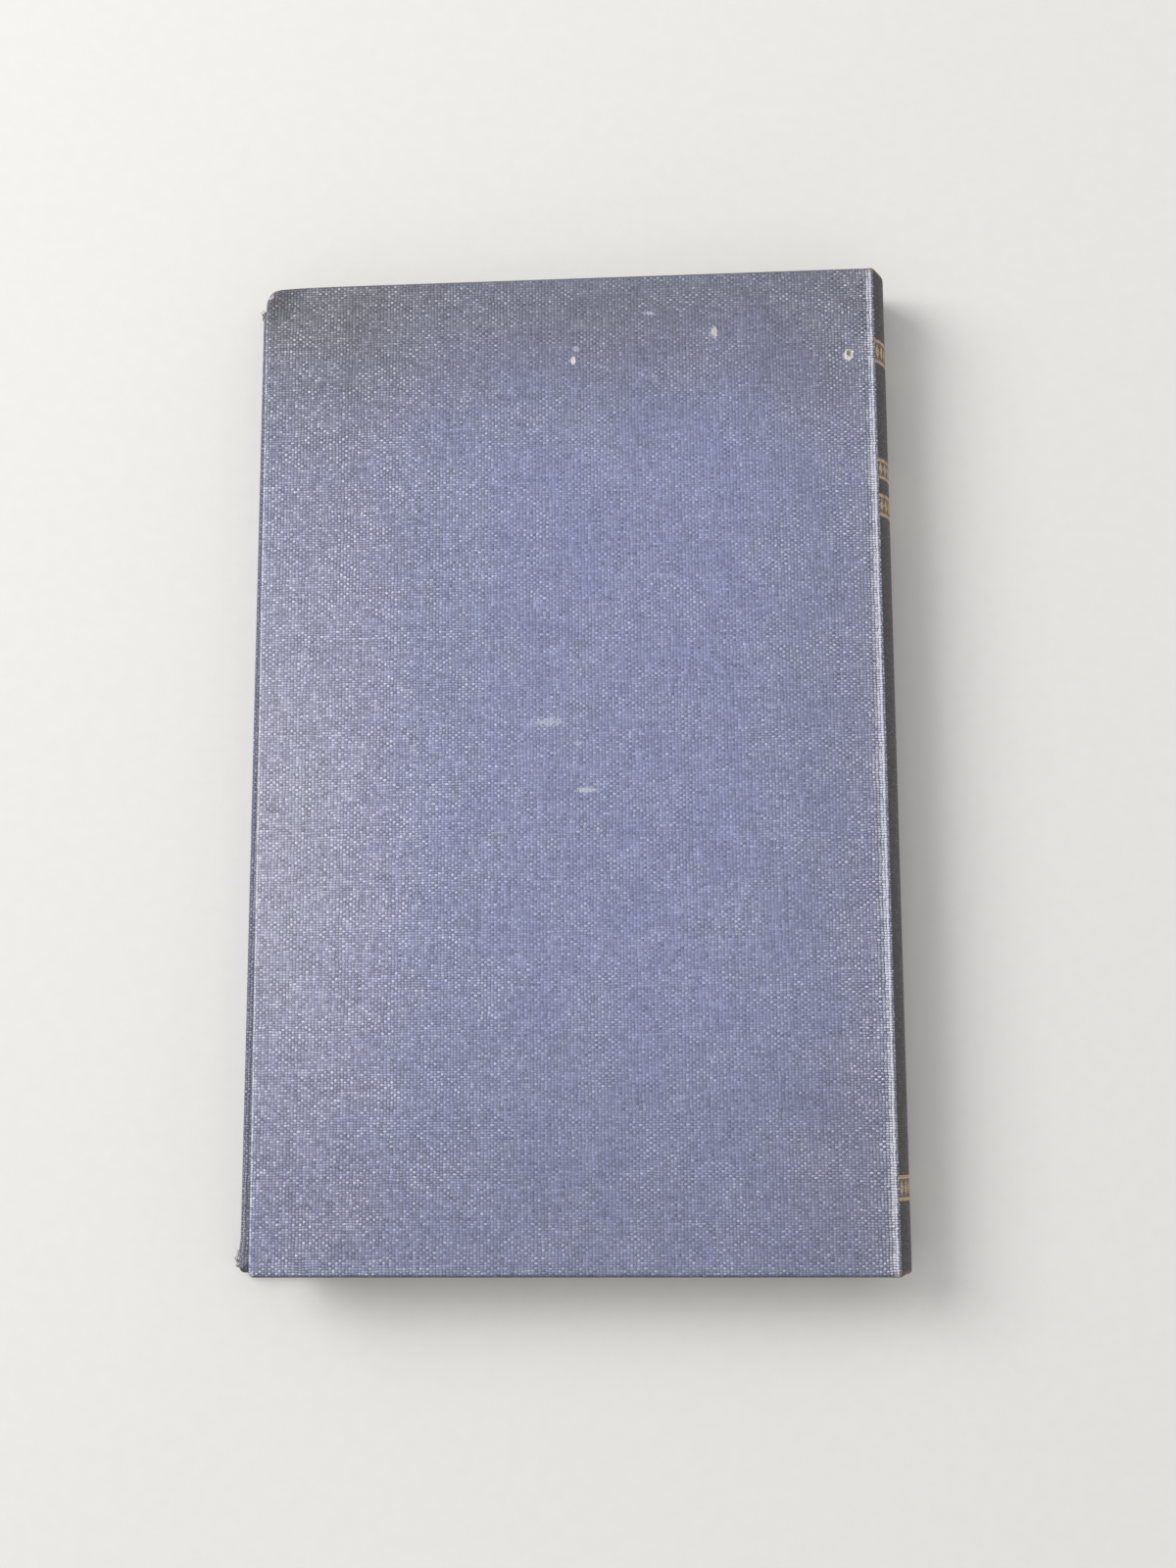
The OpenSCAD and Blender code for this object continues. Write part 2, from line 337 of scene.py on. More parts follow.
    def back_angle(self, side: Side) -> float:
        """Angle of one end of the back of the leaves, in degrees."""
        return angle_of(self.back_ridge(side) - self.back_c)


@dataclass(frozen=True)
class PhotoView:
    """The camera that the photograph was taken with, in the book's frame."""

    focal_px: float = 2090.0
    wide_px: float = 1200.0
    high_px: float = 1600.0
    sensor: float = 36.0
    place: tuple[float, float, float] = (34.05, -67.93, 420.61)
    turn: tuple[float, float, float] = (0.15279, 0.07181, -0.01174)

    def matrix(self) -> Matrix:
        """Turn of the camera, from its rotation vector."""
        turn = Vector(self.turn)
        return Matrix.Rotation(turn.length, 3, turn.normalized())

    def on_level(self, px: float, py: float, z: float) -> np.ndarray:
        """Place in X and Y at a level that a pixel of the photograph shows.

        Args:
            px, py: the pixel, from the top left.
            z: the level in millimetres.

        Returns:
            X and Y in millimetres.
        """
        ray = self.matrix() @ Vector((px - self.wide_px / 2, self.high_px / 2 - py, -self.focal_px))
        share = (z - self.place[2]) / ray.z
        return np.array([self.place[0] + ray.x * share, self.place[1] + ray.y * share])

    def make(self) -> None:
        """Makes the scene's camera."""
        data = bpy.data.cameras.new("photo_camera")
        data.sensor_width = self.sensor
        data.lens = self.focal_px / self.high_px * self.sensor
        data.clip_start, data.clip_end = 0.01, 20
        camera = bpy.data.objects.new("photo_camera", data)
        camera.matrix_world = Matrix.Translation(Vector(self.place) * MM) @ self.matrix().to_4x4()
        bpy.context.collection.objects.link(camera)
        bpy.context.scene.camera = camera


class Value:
    """An output of a node. Sums and products of it are Math nodes in the same tree."""

    def __init__(self, t: "Tree", socket: Socket) -> None:
        """Takes the tree and the output."""
        self.t, self.socket = t, socket

    def __add__(self, other: object) -> "Value":
        """This value and another."""
        return self.t.math("ADD", self, other)

    def __sub__(self, other: object) -> "Value":
        """This value less another."""
        return self.t.math("SUBTRACT", self, other)

    def __rsub__(self, other: object) -> "Value":
        """Another value less this one."""
        return self.t.math("SUBTRACT", other, self)

    def __mul__(self, other: object) -> "Value":
        """This value times another."""
        return self.t.math("MULTIPLY", self, other)

    def __truediv__(self, other: object) -> "Value":
        """This value over another."""
        return self.t.math("DIVIDE", self, other)

    def __abs__(self) -> "Value":
        """Size of this value, whatever its sign."""
        return self.t.math("ABSOLUTE", self)

    __radd__, __rmul__ = __add__, __mul__


class Tree:
    """Short calls that make and join the nodes of one tree."""

    def __init__(self, tree: NodeTree) -> None:
        """Takes the tree to work on."""
        self.tree = tree

    def node(self, kind: str, **settings: object) -> Node:
        """A new node of a kind, with its settings.

        Args:
            kind: type of the node.
            settings: its settings by name.

        Returns:
            The node.
        """
        made = self.tree.nodes.new(kind)
        for name, value in settings.items():
            setattr(made, name, value)
        return made

    def put(self, socket: Socket, value: object) -> None:
        """Joins a socket to another, or gives it a plain value.

        Args:
            socket: an input.
            value: an output, a number or a tuple of numbers.
        """
        if isinstance(value, Value):
            value = value.socket
        if isinstance(value, Socket):
            self.tree.links.new(value, socket)
        elif socket.type == "RGBA" and len(value) == 3:
            socket.default_value = (*value, 1)
        else:
            socket.default_value = value

    def fill(self, node: Node, **values: object) -> Node:
        """Gives a node's inputs their values by name, with _ for a space.

        Args:
            node: the node.
            values: its values by the names of its inputs.

        Returns:
            The node.
        """
        for name, value in values.items():
            self.put(node.inputs[name.replace("_", " ")], value)
        return node

    def out(self, node: Node, name: int | str = 0) -> Value:
        """One output of a node, by its place or its name."""
        return Value(self, node.outputs[name])

    def outs(self, node: Node) -> list[Value]:
        """All outputs of a node."""
        return [Value(self, socket) for socket in node.outputs]

    def feed(self, node: Node, *values: object) -> Node:
        """Gives a node's first inputs their values.

        Args:
            node: the node.
            values: its values in order.

        Returns:
            The node.
        """
        for socket, value in zip(node.inputs, values):
            self.put(socket, value)
        return node

    def math(self, kind: str, *values: object, clamp: bool = False) -> Value:
        """Result of a Math node."""
        made = self.node("ShaderNodeMath", operation=kind, use_clamp=clamp)
        return self.out(self.feed(made, *values))

    def most(self, first: object, second: object) -> Value:
        """The larger of two values."""
        return self.math("MAXIMUM", first, second)

    def vector(self, kind: str, *values: object) -> Value:
        """Result of a Vector Math node."""
        made = self.feed(self.node("ShaderNodeVectorMath", operation=kind), *values)
        return self.out(made, "Value" if kind == "LENGTH" else 0)

    def split(self, vector: object) -> list[Value]:
        """X, Y and Z of a vector."""
        return self.outs(self.feed(self.node("ShaderNodeSeparateXYZ"), vector))

    def join(self, x: object, y: object = 0.0, z: object = 0.0) -> Value:
        """A vector from its parts."""
        return self.out(self.feed(self.node("ShaderNodeCombineXYZ"), x, y, z))

    def shape(self, kind: str, **values: object) -> Value:
        """Result of a geometry node, from its inputs by name."""
        return self.out(self.fill(self.node("GeometryNode" + kind), **values))

    def place(self) -> Value:
        """Place on the object, in metres."""
        return self.out(self.node("ShaderNodeTexCoord"), "Object")

    def stored(self, name: str) -> Value:
        """Value that the mesh keeps under a name."""
        return self.out(self.node("ShaderNodeAttribute", attribute_name=name), "Fac")

    def tinted(self, colour: object, value: Value) -> Value:
        """A colour made darker or lighter."""
        return self.vector("MULTIPLY", colour, self.join(value, value, value))

    def mixed(self, share: Value, first: Value, second: Value) -> Value:
        """Mix of two shaders."""
        return self.out(self.feed(self.node("ShaderNodeMixShader"), share, first, second))

    def seen(self) -> Value:
        """1 where a ray comes from the camera, a glossy surface or glass, else 0.

        Returns:
            The value.
        """
        rays = self.node("ShaderNodeLightPath").outputs
        direct = self.most(rays["Is Camera Ray"], rays["Is Glossy Ray"])
        return self.most(direct, rays["Is Transmission Ray"])

    def ramp(
        self, value: object, low: object, high: object, to_low: float = 0.0, to_high: float = 1.0
    ) -> Value:
        """Soft step of a value from to_low at low to to_high at high.

        Args:
            value: what is stepped.
            low, high: where the step starts and ends.
            to_low, to_high: results there.

        Returns:
            The result.
        """
        made = self.node("ShaderNodeMapRange", interpolation_type="SMOOTHSTEP")
        self.fill(made, Value=value, From_Min=low, From_Max=high, To_Min=to_low, To_Max=to_high)
        return self.out(made)

    def blend(self, share: object, first: object, second: object) -> Value:
        """Mix of two colours.

        Args:
            share: share of the second.
            first, second: the colours.

        Returns:
            The mixed colour.
        """
        made = self.node("ShaderNodeMix", data_type="RGBA")
        for place, value in ((0, share), (6, first), (7, second)):
            self.put(made.inputs[place], value)
        return self.out(made, 2)

    def noise(self, vector: Value, scale: object, detail: float = 2.0, rough: float = 0.5) -> Value:
        """Value of a Noise Texture, mostly from 0.3 to 0.7.

        Args:
            vector: place in the texture.
            scale: patches in a unit of length.
            detail, rough: number and strength of its finer layers.

        Returns:
            The value.
        """
        made = self.node("ShaderNodeTexNoise")
        self.fill(made, Vector=vector, Scale=scale, Detail=detail, Roughness=rough)
        return self.out(made)

    def random(self, vector: object) -> Value:
        """One random value from 0 to 1 for each different vector."""
        made = self.node("ShaderNodeTexWhiteNoise", noise_dimensions="3D")
        return self.out(self.feed(made, vector))


class ShaderGroup:
    """A shader node group that several finishes share. It is made once."""

    name = ""
    takes: tuple[tuple[str, str, object], ...] = ()
    gives: tuple[str, ...] = ()

    def wire(self, t: Tree, *given: Value) -> tuple[Value, ...]:
        """Makes the group's nodes from its inputs, and returns its outputs in order."""
        raise NotImplementedError

    def made(self) -> NodeTree:
        """The group's tree, made at its first use.

        Returns:
            The tree.
        """
        known = bpy.data.node_groups.get(self.name)
        if known:
            return known
        tree = bpy.data.node_groups.new(self.name, "ShaderNodeTree")
        for name, kind, value in self.takes:
            socket = tree.interface.new_socket(name, in_out="INPUT", socket_type=kind)
            if value is not None:
                socket.default_value = value
        for name in self.gives:
            tree.interface.new_socket(name, in_out="OUTPUT", socket_type=FLOAT)
        t = Tree(tree)
        given = t.outs(t.node("NodeGroupInput"))[: len(self.takes)]
        t.feed(t.node("NodeGroupOutput"), *self.wire(t, *given))
        return tree

    def use(self, t: Tree, **values: object) -> list[Value]:
        """Places the group in a material with its own values, and returns its outputs."""
        return t.outs(t.fill(t.node("ShaderNodeGroup", node_tree=self.made()), **values))


class PlainWeave(ShaderGroup):
    """Over-and-under weave of threads that wander and vary in thickness."""

    name = "plain_weave"
    takes = (
        ("Flat place", VECTOR, None),
        ("Pitch", VECTOR, (0.665, 0.5, 1.0)),
        ("Wander", FLOAT, 0.12),
        ("Upright", FLOAT, 0.0),
    )
    gives = ("Height", "Knot", "Gap", "Slub", "Tone", "Fleck")
    drifts = ((0.35, 6.0), (2.1, 3.2))
    dome, long_dome = 0.65, 0.4
    patch_scale = 0.13
    patch_edge = (0.44, 0.56)
    cell_strength = (0.62, 0.98, 0.5, 1.3)
    knot_edge = (0.35, 0.9)
    gap_edge = (0.62, 0.1)
    corner_depth = 0.8
    sunk_depth = 0.4
    tone_scale = 2.3

    def wire(
        self, t: Tree, place: Value, pitch: Value, wander: Value, upright: Value
    ) -> tuple[Value, ...]:
        """Makes the weave: cells, their profiles, and random values for threads and knots.

        Args:
            t: the group's tree.
            place: place on the flat cloth, in millimetres.
            pitch: distance between threads.
            wander: how far the threads leave their lines.
            upright: how far the upright threads stand out.

        Returns:
            Height, knots, gaps, thick threads, tone of each thread, random value of each cell.
        """
        # The threads wander: a slow drift and a quick one move the place.
        moved = place
        for scale, share in self.drifts:
            drift = t.node("ShaderNodeTexNoise")
            t.fill(drift, Vector=place, Scale=scale, Detail=2.0)
            swing = t.node("ShaderNodeVectorMath", operation="SCALE")
            t.put(swing.inputs[0], t.vector("SUBTRACT", drift.outputs[1], (0.5, 0.5, 0.5)))
            t.put(swing.inputs["Scale"], wander * share)
            moved = t.vector("ADD", moved, swing.outputs[0])
        # Cells of one crossing each. The warp is on top in the odd ones, the weft in the others.
        u, v, _ = t.split(t.vector("DIVIDE", moved, pitch))
        column, row = t.math("FLOOR", u), t.math("FLOOR", v)
        across = t.math("FRACT", u) * 2.0 - 1.0
        along = t.math("FRACT", v) * 2.0 - 1.0
        round_u = 1.0 - across * across
        round_v = 1.0 - along * along
        odd = t.math("FLOORED_MODULO", column + row, 2.0)
        even = 1.0 - odd
        warp = round_u * (round_v * self.dome + (1 - self.dome))
        weft = round_v * (round_u * self.dome + (1 - self.dome))
        height = warp * odd + weft * even
        # In patches the upright warp stands out, and in the others the weft.
        patch = t.ramp(t.noise(place, self.patch_scale), *self.patch_edge)
        lean = t.math("ADD", patch, upright, clamp=True)
        fleck = t.random(t.join(column, row, 3.0))
        strength = t.ramp(fleck, *self.cell_strength)
        long_weft = round_v * (round_u * self.long_dome + (1 - self.long_dome))
        long_warp = round_u * (round_v * self.long_dome + (1 - self.long_dome))
        weft_knot = t.ramp(long_weft, *self.knot_edge) * even * (lean * -0.7 + 1.0)
        warp_knot = t.ramp(long_warp, *self.knot_edge) * odd * (lean * 0.85 + 0.08)
        knot = (weft_knot + warp_knot) * strength
        # Gaps between the threads, each of its own strength, and deep at the corners.
        side_gap, end_gap = (t.ramp(value, *self.gap_edge) for value in (round_u, round_v))
        corner = side_gap * end_gap * self.corner_depth
        side_gap = side_gap * (lean * 0.55 + 0.3)
        end_gap = end_gap * (lean * -0.25 + 0.4)
        side_place = t.join(t.math("ROUND", u) * 3.7, v * 0.2, 8.0)
        end_place = t.join(u * 0.2, t.math("ROUND", v) * 4.3, 2.0)
        side_gap = side_gap * t.ramp(t.noise(side_place, 1.0, 0.0), 0.35, 0.7, 0.25, 1.0)
        end_gap = end_gap * t.ramp(t.noise(end_place, 1.0, 0.0), 0.35, 0.7, 0.2, 0.85)
        gap = t.most(t.most(side_gap, end_gap), corner)
        gap = t.most(gap * t.ramp(height, 0.75, 0.3), abs(odd - lean) * self.sunk_depth)
        # Thick threads, and a tone for each thread, which changes slowly along it.
        row_place = t.join(u * 0.05, row * 7.3, 0.0)
        column_place = t.join(column * 5.7, v * 0.05, 9.0)
        thick_row = t.ramp(t.noise(row_place, 1.0, 0.0), 0.64, 0.8)
        thick_column = t.ramp(t.noise(column_place, 1.0, 0.0), 0.66, 0.82)
        slub = t.most(thick_row * even, thick_column * odd) * t.ramp(height, 0.2, 0.7)
        tone_row, tone_column = (t.noise(at, self.tone_scale, 1.0) for at in (row_place, column_place))
        tone = tone_row * even + tone_column * odd
        return height, knot, gap, slub, tone, fleck


class RaggedBand(ShaderGroup):
    """Mask that is 1 near a line and fades out with a ragged border, as rubbed cloth does."""

    name = "ragged_band"
    takes = (
        ("Distance", FLOAT, 0.0),
        ("Width", FLOAT, 1.0),
        ("Ragged", FLOAT, 0.5),
        ("Place", VECTOR, None),
        ("Grain", FLOAT, 1.5),
    )
    gives = ("Mask",)

    def wire(
        self, t: Tree, distance: Value, width: Value, ragged: Value, place: Value, grain: Value
    ) -> tuple[Value, ...]:
        """The mask, from the distance to the line and noise of a grain."""
        shift = (t.noise(place, grain, 3.0, 0.65) - 0.5) * ragged
        return (t.ramp(abs(distance) + shift * 3.0, width, width * 0.35),)


class Spot(ShaderGroup):
    """Mask of one small spot or scuff with an uneven border."""

    name = "spot"
    takes = (
        ("Place", VECTOR, None),
        ("Centre", VECTOR, None),
        ("Reach", VECTOR, (1.0, 1.0, 1.0)),
        ("Ragged", FLOAT, 0.5),
    )
    gives = ("Mask", "Rim")
    rim_at = 0.68

    def wire(
        self, t: Tree, place: Value, centre: Value, reach: Value, ragged: Value
    ) -> tuple[Value, ...]:
        """Makes the mask from the distance to the centre.

        Args:
            t: the group's tree.
            place: place on the flat cloth, in millimetres.
            centre: middle of the spot there.
            reach: half its width and height.
            ragged: how uneven its border is.

        Returns:
            The mask of the whole spot and that of its rim.
        """
        away = t.vector("DIVIDE", t.vector("SUBTRACT", place, centre), reach)
        uneven = (t.noise(place, 1.9, 3.0) - 0.5) * ragged
        apart = t.vector("LENGTH", away) + uneven * 3.0
        return t.ramp(apart, 1.0, 0.55), t.ramp(abs(apart - self.rim_at), 0.42, 0.16)


class PaperGrain(ShaderGroup):
    """Fibres, cloudiness and small brown flecks of aged paper."""

    name = "paper_grain"
    takes = (("Place", VECTOR, None), ("Flecks", FLOAT, 0.5))
    gives = ("Fibre", "Cloud", "Fleck")

    def wire(self, t: Tree, place: Value, flecks: Value) -> tuple[Value, ...]:
        """Makes the three values from noise at three scales.

        Args:
            t: the group's tree.
            place: place on the object, in metres.
            flecks: strength of the flecks.

        Returns:
            Fibres, clouds and flecks.
        """
        stretched = t.vector("MULTIPLY", place, (1.0, 0.35, 1.0))
        dots = t.fill(t.node("ShaderNodeTexVoronoi"), Vector=place, Scale=140.0)
        chosen = t.math("GREATER_THAN", t.random(dots.outputs["Position"]), 0.93)
        near = t.ramp(dots.outputs["Distance"], 0.16, 0.04)
        fibre, cloud = t.noise(stretched, 3200.0, 4.0, 0.7), t.noise(place, 45.0, 3.0)
        return fibre, cloud, near * chosen * flecks


WEAVE, BAND, SPOT, GRAIN = PlainWeave(), RaggedBand(), Spot(), PaperGrain()


@dataclass(frozen=True)
class Finish:
    """What every finish has: a name, and a Principled surface of its own."""

    name: str

    def start(self) -> tuple[Material, Tree, Node]:
        """A new material, its tree and its Principled shader.

        Returns:
            The three of them.
        """
        material = bpy.data.materials.new(self.name)
        material.use_nodes = True
        t = Tree(material.node_tree)
        return material, t, material.node_tree.nodes["Principled BSDF"]

    def bump(self, t: Tree, shader: Node, height: Value, depth: float, share: float) -> None:
        """Gives the shader a Bump node of a depth in millimetres."""
        made = t.fill(t.node("ShaderNodeBump"), Distance=depth * MM, Strength=share, Height=height)
        t.fill(shader, Normal=made.outputs[0])


@dataclass(frozen=True)
class Mark:
    """A spot, scuff or dot on the rear cover, by its pixel in the photograph."""

    px: tuple[float, float]
    reach: tuple[float, float]
    colour: Colour
    strength: float = 1.0
    ragged: float = 0.3
    rim: bool = False


CREAM = srgb(228, 222, 216)
BROWN = srgb(112, 100, 96)
PALE = srgb(198, 200, 220)
CHALK = srgb(208, 208, 216)

MARKS = (
    Mark((585, 368), (0.6, 1.2), CREAM, 1.0, 0.3),
    Mark((588, 356), (0.9, 0.8), PALE, 0.6, 0.5),
    Mark((662, 319.5), (1.3, 0.5), PALE, 0.7, 0.7),
    Mark((729, 339), (0.9, 1.4), CREAM, 0.7, 0.5),
    Mark((866, 362), (1.0, 1.25), CREAM, 0.95, 0.5, True),
    Mark((866, 360), (0.55, 0.75), BROWN, 0.8, 0.4),
    Mark((357, 815), (0.5, 0.45), CHALK, 1.0, 0.3),
    Mark((559, 737), (3.2, 1.1), PALE, 0.6, 1.0),
    Mark((598, 806), (1.9, 0.7), CHALK, 0.65, 0.8),
    Mark((590, 758), (1.2, 0.5), PALE, 0.5, 0.7),
    Mark((643, 750), (0.4, 1.0), PALE, 0.6, 0.5),
    Mark((276, 301.5), (0.8, 0.6), CHALK, 0.7, 0.8),
    Mark((256, 1300), (0.8, 0.6), CHALK, 0.6, 0.8),
)


@dataclass(frozen=True)
class GiltBand:
    """A band of rules and lozenges across the spine, by its place in the photograph."""

    px: tuple[float, float]
    tall: float


GILT_BANDS = (
    GiltBand((899, 362), 4.4),
    GiltBand((901, 481), 3.6),
    GiltBand((902, 518), 4.0),
    GiltBand((921, 1212), 4.2),
)


@dataclass(frozen=True)
class ClothPlan:
    """Places on the flat covering cloth, in millimetres from the rear fore edge."""

    rear_ridge: float
    front_ridge: float
    total: float


class ClothPlace(NamedTuple):
    """The material's tree, the place on the flat cloth, and its parts in millimetres."""

    t: Tree
    flat: Value
    u: Value
    v: Value


@dataclass(frozen=True)
class ClothFinish(Finish):
    """Blue-grey book cloth, rubbed pale on its knots, edges and ridges, with painted sheen and painted
    shade in its colour.
    """

    form: BookForm
    plan: ClothPlan
    thread: Colour = srgb(142, 147, 184)
    shade: Colour = srgb(58, 58, 72)
    # Pale knots: worn, and on the fore side also a painted sheen.
    rubbed: Colour = srgb(224, 223, 236)
    bare: Colour = srgb(216, 216, 226)
    # Grey of the painted shade at the head, the hinge side and the tail.
    dull: Colour = srgb(110, 110, 116)
    # Spine colour: darker cloth with painted shade and a warm painted bounce light.
    soiled: Colour = srgb(74, 68, 64)
    # Dark grey for grime and painted shade on the edges.
    edge_dirt: Colour = srgb(60, 58, 64)
    cap_brown: Colour = srgb(158, 140, 120)
    gold: Colour = srgb(222, 190, 148)
    pitch: tuple[float, float, float] = (0.665, 0.5, 1.0)
    gilt_half: float = 8.8
    gilt_steps: int = 11
    gilt_metal: float = 0.35
    rough: float = 0.62
    thread_depth: float = 0.15

    def material(self) -> Material:
        """Makes the cloth's material.

        Returns:
            The material.
        """
        material, t, shader = self.start()
        flat = t.out(t.node("ShaderNodeUVMap", uv_map=FLAT_MAP))
        u, v, _ = t.split(flat)
        at = ClothPlace(t, flat, u, v)
        near_fore = t.ramp(u, 70.0, 4.0)
        back = self.back(t, u)
        height, knot, gap, slub, tone, fleck = WEAVE.use(
            t, Flat_place=flat, Pitch=self.pitch, Wander=0.1, Upright=near_fore * 0.25
        )
        rub = self.rub(at, near_fore, back)
        colour = self.fields(at, back)
        grain = (fleck - 0.5) * (near_fore * 0.26 + 0.34) + (tone - 0.5) * 0.9 + 1.0
        colour = t.blend(gap * (rub * 0.45 + 0.42), t.tinted(colour, grain), self.shade)
        colour = t.blend(t.most(knot, slub * 0.5) * rub, colour, self.rubbed)
        raised = height * (fleck * 0.7 + 0.5)
        colour = t.blend(self.worn(at, raised), colour, self.bare)
        colour = self.dirt(at, colour)
        colour = self.marked(t, flat, colour)
        gilt = self.gilt(at, height)
        colour = t.blend(gilt, colour, self.gold)
        rough = gilt * -0.25 + (t.noise(flat, 0.3) * 0.16 + self.rough)
        t.fill(shader, Base_Color=colour, Metallic=gilt * self.gilt_metal, Roughness=rough)
        t.fill(shader, Specular_IOR_Level=0.35, Sheen_Weight=0.12, Sheen_Roughness=0.45)
        self.bump(t, shader, height + slub * 0.5, self.thread_depth, 0.9)
        return material

    def back(self, t: Tree, u: Value) -> Value:
        """Mask of the spine between the two ridges.

        Args:
            t: the material's tree.
            u: flat distance from the rear fore edge.

        Returns:
            The mask.
        """
        rear = t.ramp(u, self.plan.rear_ridge + 0.25, self.plan.rear_ridge + 0.9)
        front = t.ramp(u, self.plan.front_ridge - 0.3, self.plan.front_ridge - 1.6)
        return rear * front

    def rub(self, at: ClothPlace, near_fore: Value, back: Value) -> Value:
        """How strongly the knots are rubbed pale, with a painted sheen on the fore side.

        Args:
            at: tree and place.
            near_fore, back: masks of the rear cover's fore side and of the spine.

        Returns:
            A mask from 0 to 1.
        """
        t, flat, u, v = at
        patch = t.ramp(t.noise(flat, 0.08, 4.0, 0.6), 0.34, 0.66, 0.08, 0.44)
        # Paler knots on the fore side about the middle of the height: partly wear, partly painted
        # sheen.
        fore = near_fore * t.ramp(abs(v), 104.0, 40.0, 0.34, 0.62)
        by_ridge = t.ramp(u, self.plan.rear_ridge - 16, self.plan.rear_ridge - 3, 0.0, 0.3)
        on_ridge = t.ramp(u, self.plan.rear_ridge - 3.6, self.plan.rear_ridge - 1.2, 0.0, 0.7)
        worn = t.math("ADD", patch, t.most(fore, by_ridge + on_ridge), clamp=True)
        front = t.ramp(u, self.plan.front_ridge - 1.0, self.plan.front_ridge + 4.0, 0.0, 0.12)
        worn = t.math("ADD", worn, front, clamp=True)
        return worn * (back * -0.92 + 1.0)

    def fields(self, at: ClothPlace, back: Value) -> Value:
        """Slow changes of colour: painted shade at the head, the hinge side and the tail, a painted
        sheen on the fore side, and a dark spine with painted shade.

        Args:
            at: tree and place.
            back: mask of the spine.

        Returns:
            The colour.
        """
        t, flat, u, v = at
        cloud = t.noise(flat, 0.035, 3.0)
        colour = t.blend(t.ramp(cloud, 0.35, 0.7, 0.0, 0.35), self.thread, srgb(138, 146, 188))
        wavy = cloud * -18.0 + v
        # Painted shade: darker and greyer towards the head, and more so near the fore side at the top.
        head = t.ramp(wavy, 48.0, 92.0, 0.0, 0.68)
        upper = t.ramp(u, 62.0, 5.0, 0.0, 0.3) * t.ramp(v, -5.0, 70.0)
        colour = t.blend(t.math("ADD", head, upper, clamp=True), colour, self.dull)
        # Painted sheen: paler on the fore side about the middle of the height.
        middle = t.ramp(abs(wavy + 24.0), 88.0, 5.0, 0.1, 1.0)
        fore = t.ramp(u, 42.0, 0.0, 0.03, 0.6) * middle
        colour = t.blend(fore, colour, srgb(186, 182, 200))
        # Painted shade: darker towards the hinge side of the rear cover.
        hinge = t.ramp(u, 90.0, self.plan.rear_ridge, 0.0, 0.3)
        rear = t.ramp(u, self.plan.front_ridge, self.plan.rear_ridge + 9.0)
        colour = t.blend(hinge * rear, colour, self.dull)
        # Painted shade: darker towards the tail.
        tail = t.ramp(v, -30.0, -102.0, 0.0, 0.3)
        colour = t.blend(tail, colour, self.dull)
        # The spine: darker cloth, with painted shade and a warm painted bounce light.
        return t.blend(back * 0.94, colour, self.soiled)

    def worn(self, at: ClothPlace, raised: Value) -> Value:
        """Cloth rubbed bare along the ridges and the fore edges.

        Args:
            at: tree and place.
            raised: height of the threads, which wear first where they stand up.

        Returns:
            The mask of the bare threads.
        """
        t, flat, u, v = at
        half_h = self.form.half_h
        uneven = t.ramp(t.noise(t.join(0.0, v, 0.0), 0.11, 3.0), 0.35, 0.65, 0.6, 1.0)
        width = uneven + t.ramp(v, half_h - 60.0, half_h - 20.0, 0.0, -0.25)
        broken = t.ramp(t.noise(t.join(3.0, v, 0.0), 0.16, 3.0), 0.38, 0.6, 0.3, 0.8)
        broken = broken * t.ramp(v, half_h - 12.0, half_h - 50.0, 0.4, 1.0)
        # Each line: distance from it, its width, reach and raggedness, and how low it wears.
        lines = []
        for ridge, way in ((self.plan.rear_ridge, 1.0), (self.plan.front_ridge, -1.0)):
            past = (u - (ridge - 0.1 * way)) * way
            away = t.most(past * 3.0, past * -1.0)
            lines += [(away, width, 0.6, 0.4, 0.0), (away, width, 2.7, 1.2, 0.3)]
        front = self.plan.total - u
        lines += [(u, broken, 1.0, 0.9, 0.2), (front, broken, 1.0, 0.9, 0.2)]
        lines.append((front + 3.5, broken, 0.4, 0.2, 0.2))
        mask = 0.0
        for away, wide, reach, ragged, low in lines:
            (band,) = BAND.use(
                t, Distance=away, Width=wide * reach, Place=flat, Ragged=ragged, Grain=1.3
            )
            mask = t.most(mask, band * t.ramp(raised, low, low + 0.4))
        return mask

    def dirt(self, at: ClothPlace, colour: Value) -> Value:
        """Grime and painted shade on the head and tail edges, darker cloth round the knocked corner,
        grime and painted shadow at the front edge, and the browned cap.

        Args:
            at: tree and place.
            colour: colour of the clean cloth.

        Returns:
            The colour with its grime, painted shade and browned cap.
        """
        t, flat, u, v = at
        form, high = self.form, abs(v)
        # Head and tail edges darker: partly grime, partly painted shade on their rounding.
        edge = t.noise(flat, 0.8, 2.0) * 0.5
        edge = t.ramp(high + edge, form.half_h - 0.55, form.half_h + 0.15, 0.0, 0.72)
        colour = t.blend(edge, colour, self.edge_dirt)
        # Darker round the knocked corner.
        corner = t.vector("SUBTRACT", flat, (1.2, form.half_h - 1.2, 0.0))
        knocked = t.ramp(t.vector("LENGTH", corner), 11.0, 1.0, 0.0, 0.62)
        colour = t.blend(knocked, colour, self.edge_dirt)
        # Front fore edge darker: partly grime, partly painted shadow.
        front = t.ramp(self.plan.total - u, 6.0, 0.5, 0.0, 0.5)
        colour = t.blend(front, colour, self.edge_dirt)
        by_cap = t.ramp(high, form.half_h - 1.6, form.half_h - 0.2)
        cap = by_cap * t.ramp(u, self.plan.rear_ridge - 1.5, self.plan.rear_ridge)
        cap = cap * t.ramp(u, self.plan.front_ridge + 1, self.plan.front_ridge)
        cap = cap * t.ramp(t.noise(flat, 0.7, 3.0), 0.35, 0.6, 0.15, 0.8)
        return t.blend(cap, colour, self.cap_brown)

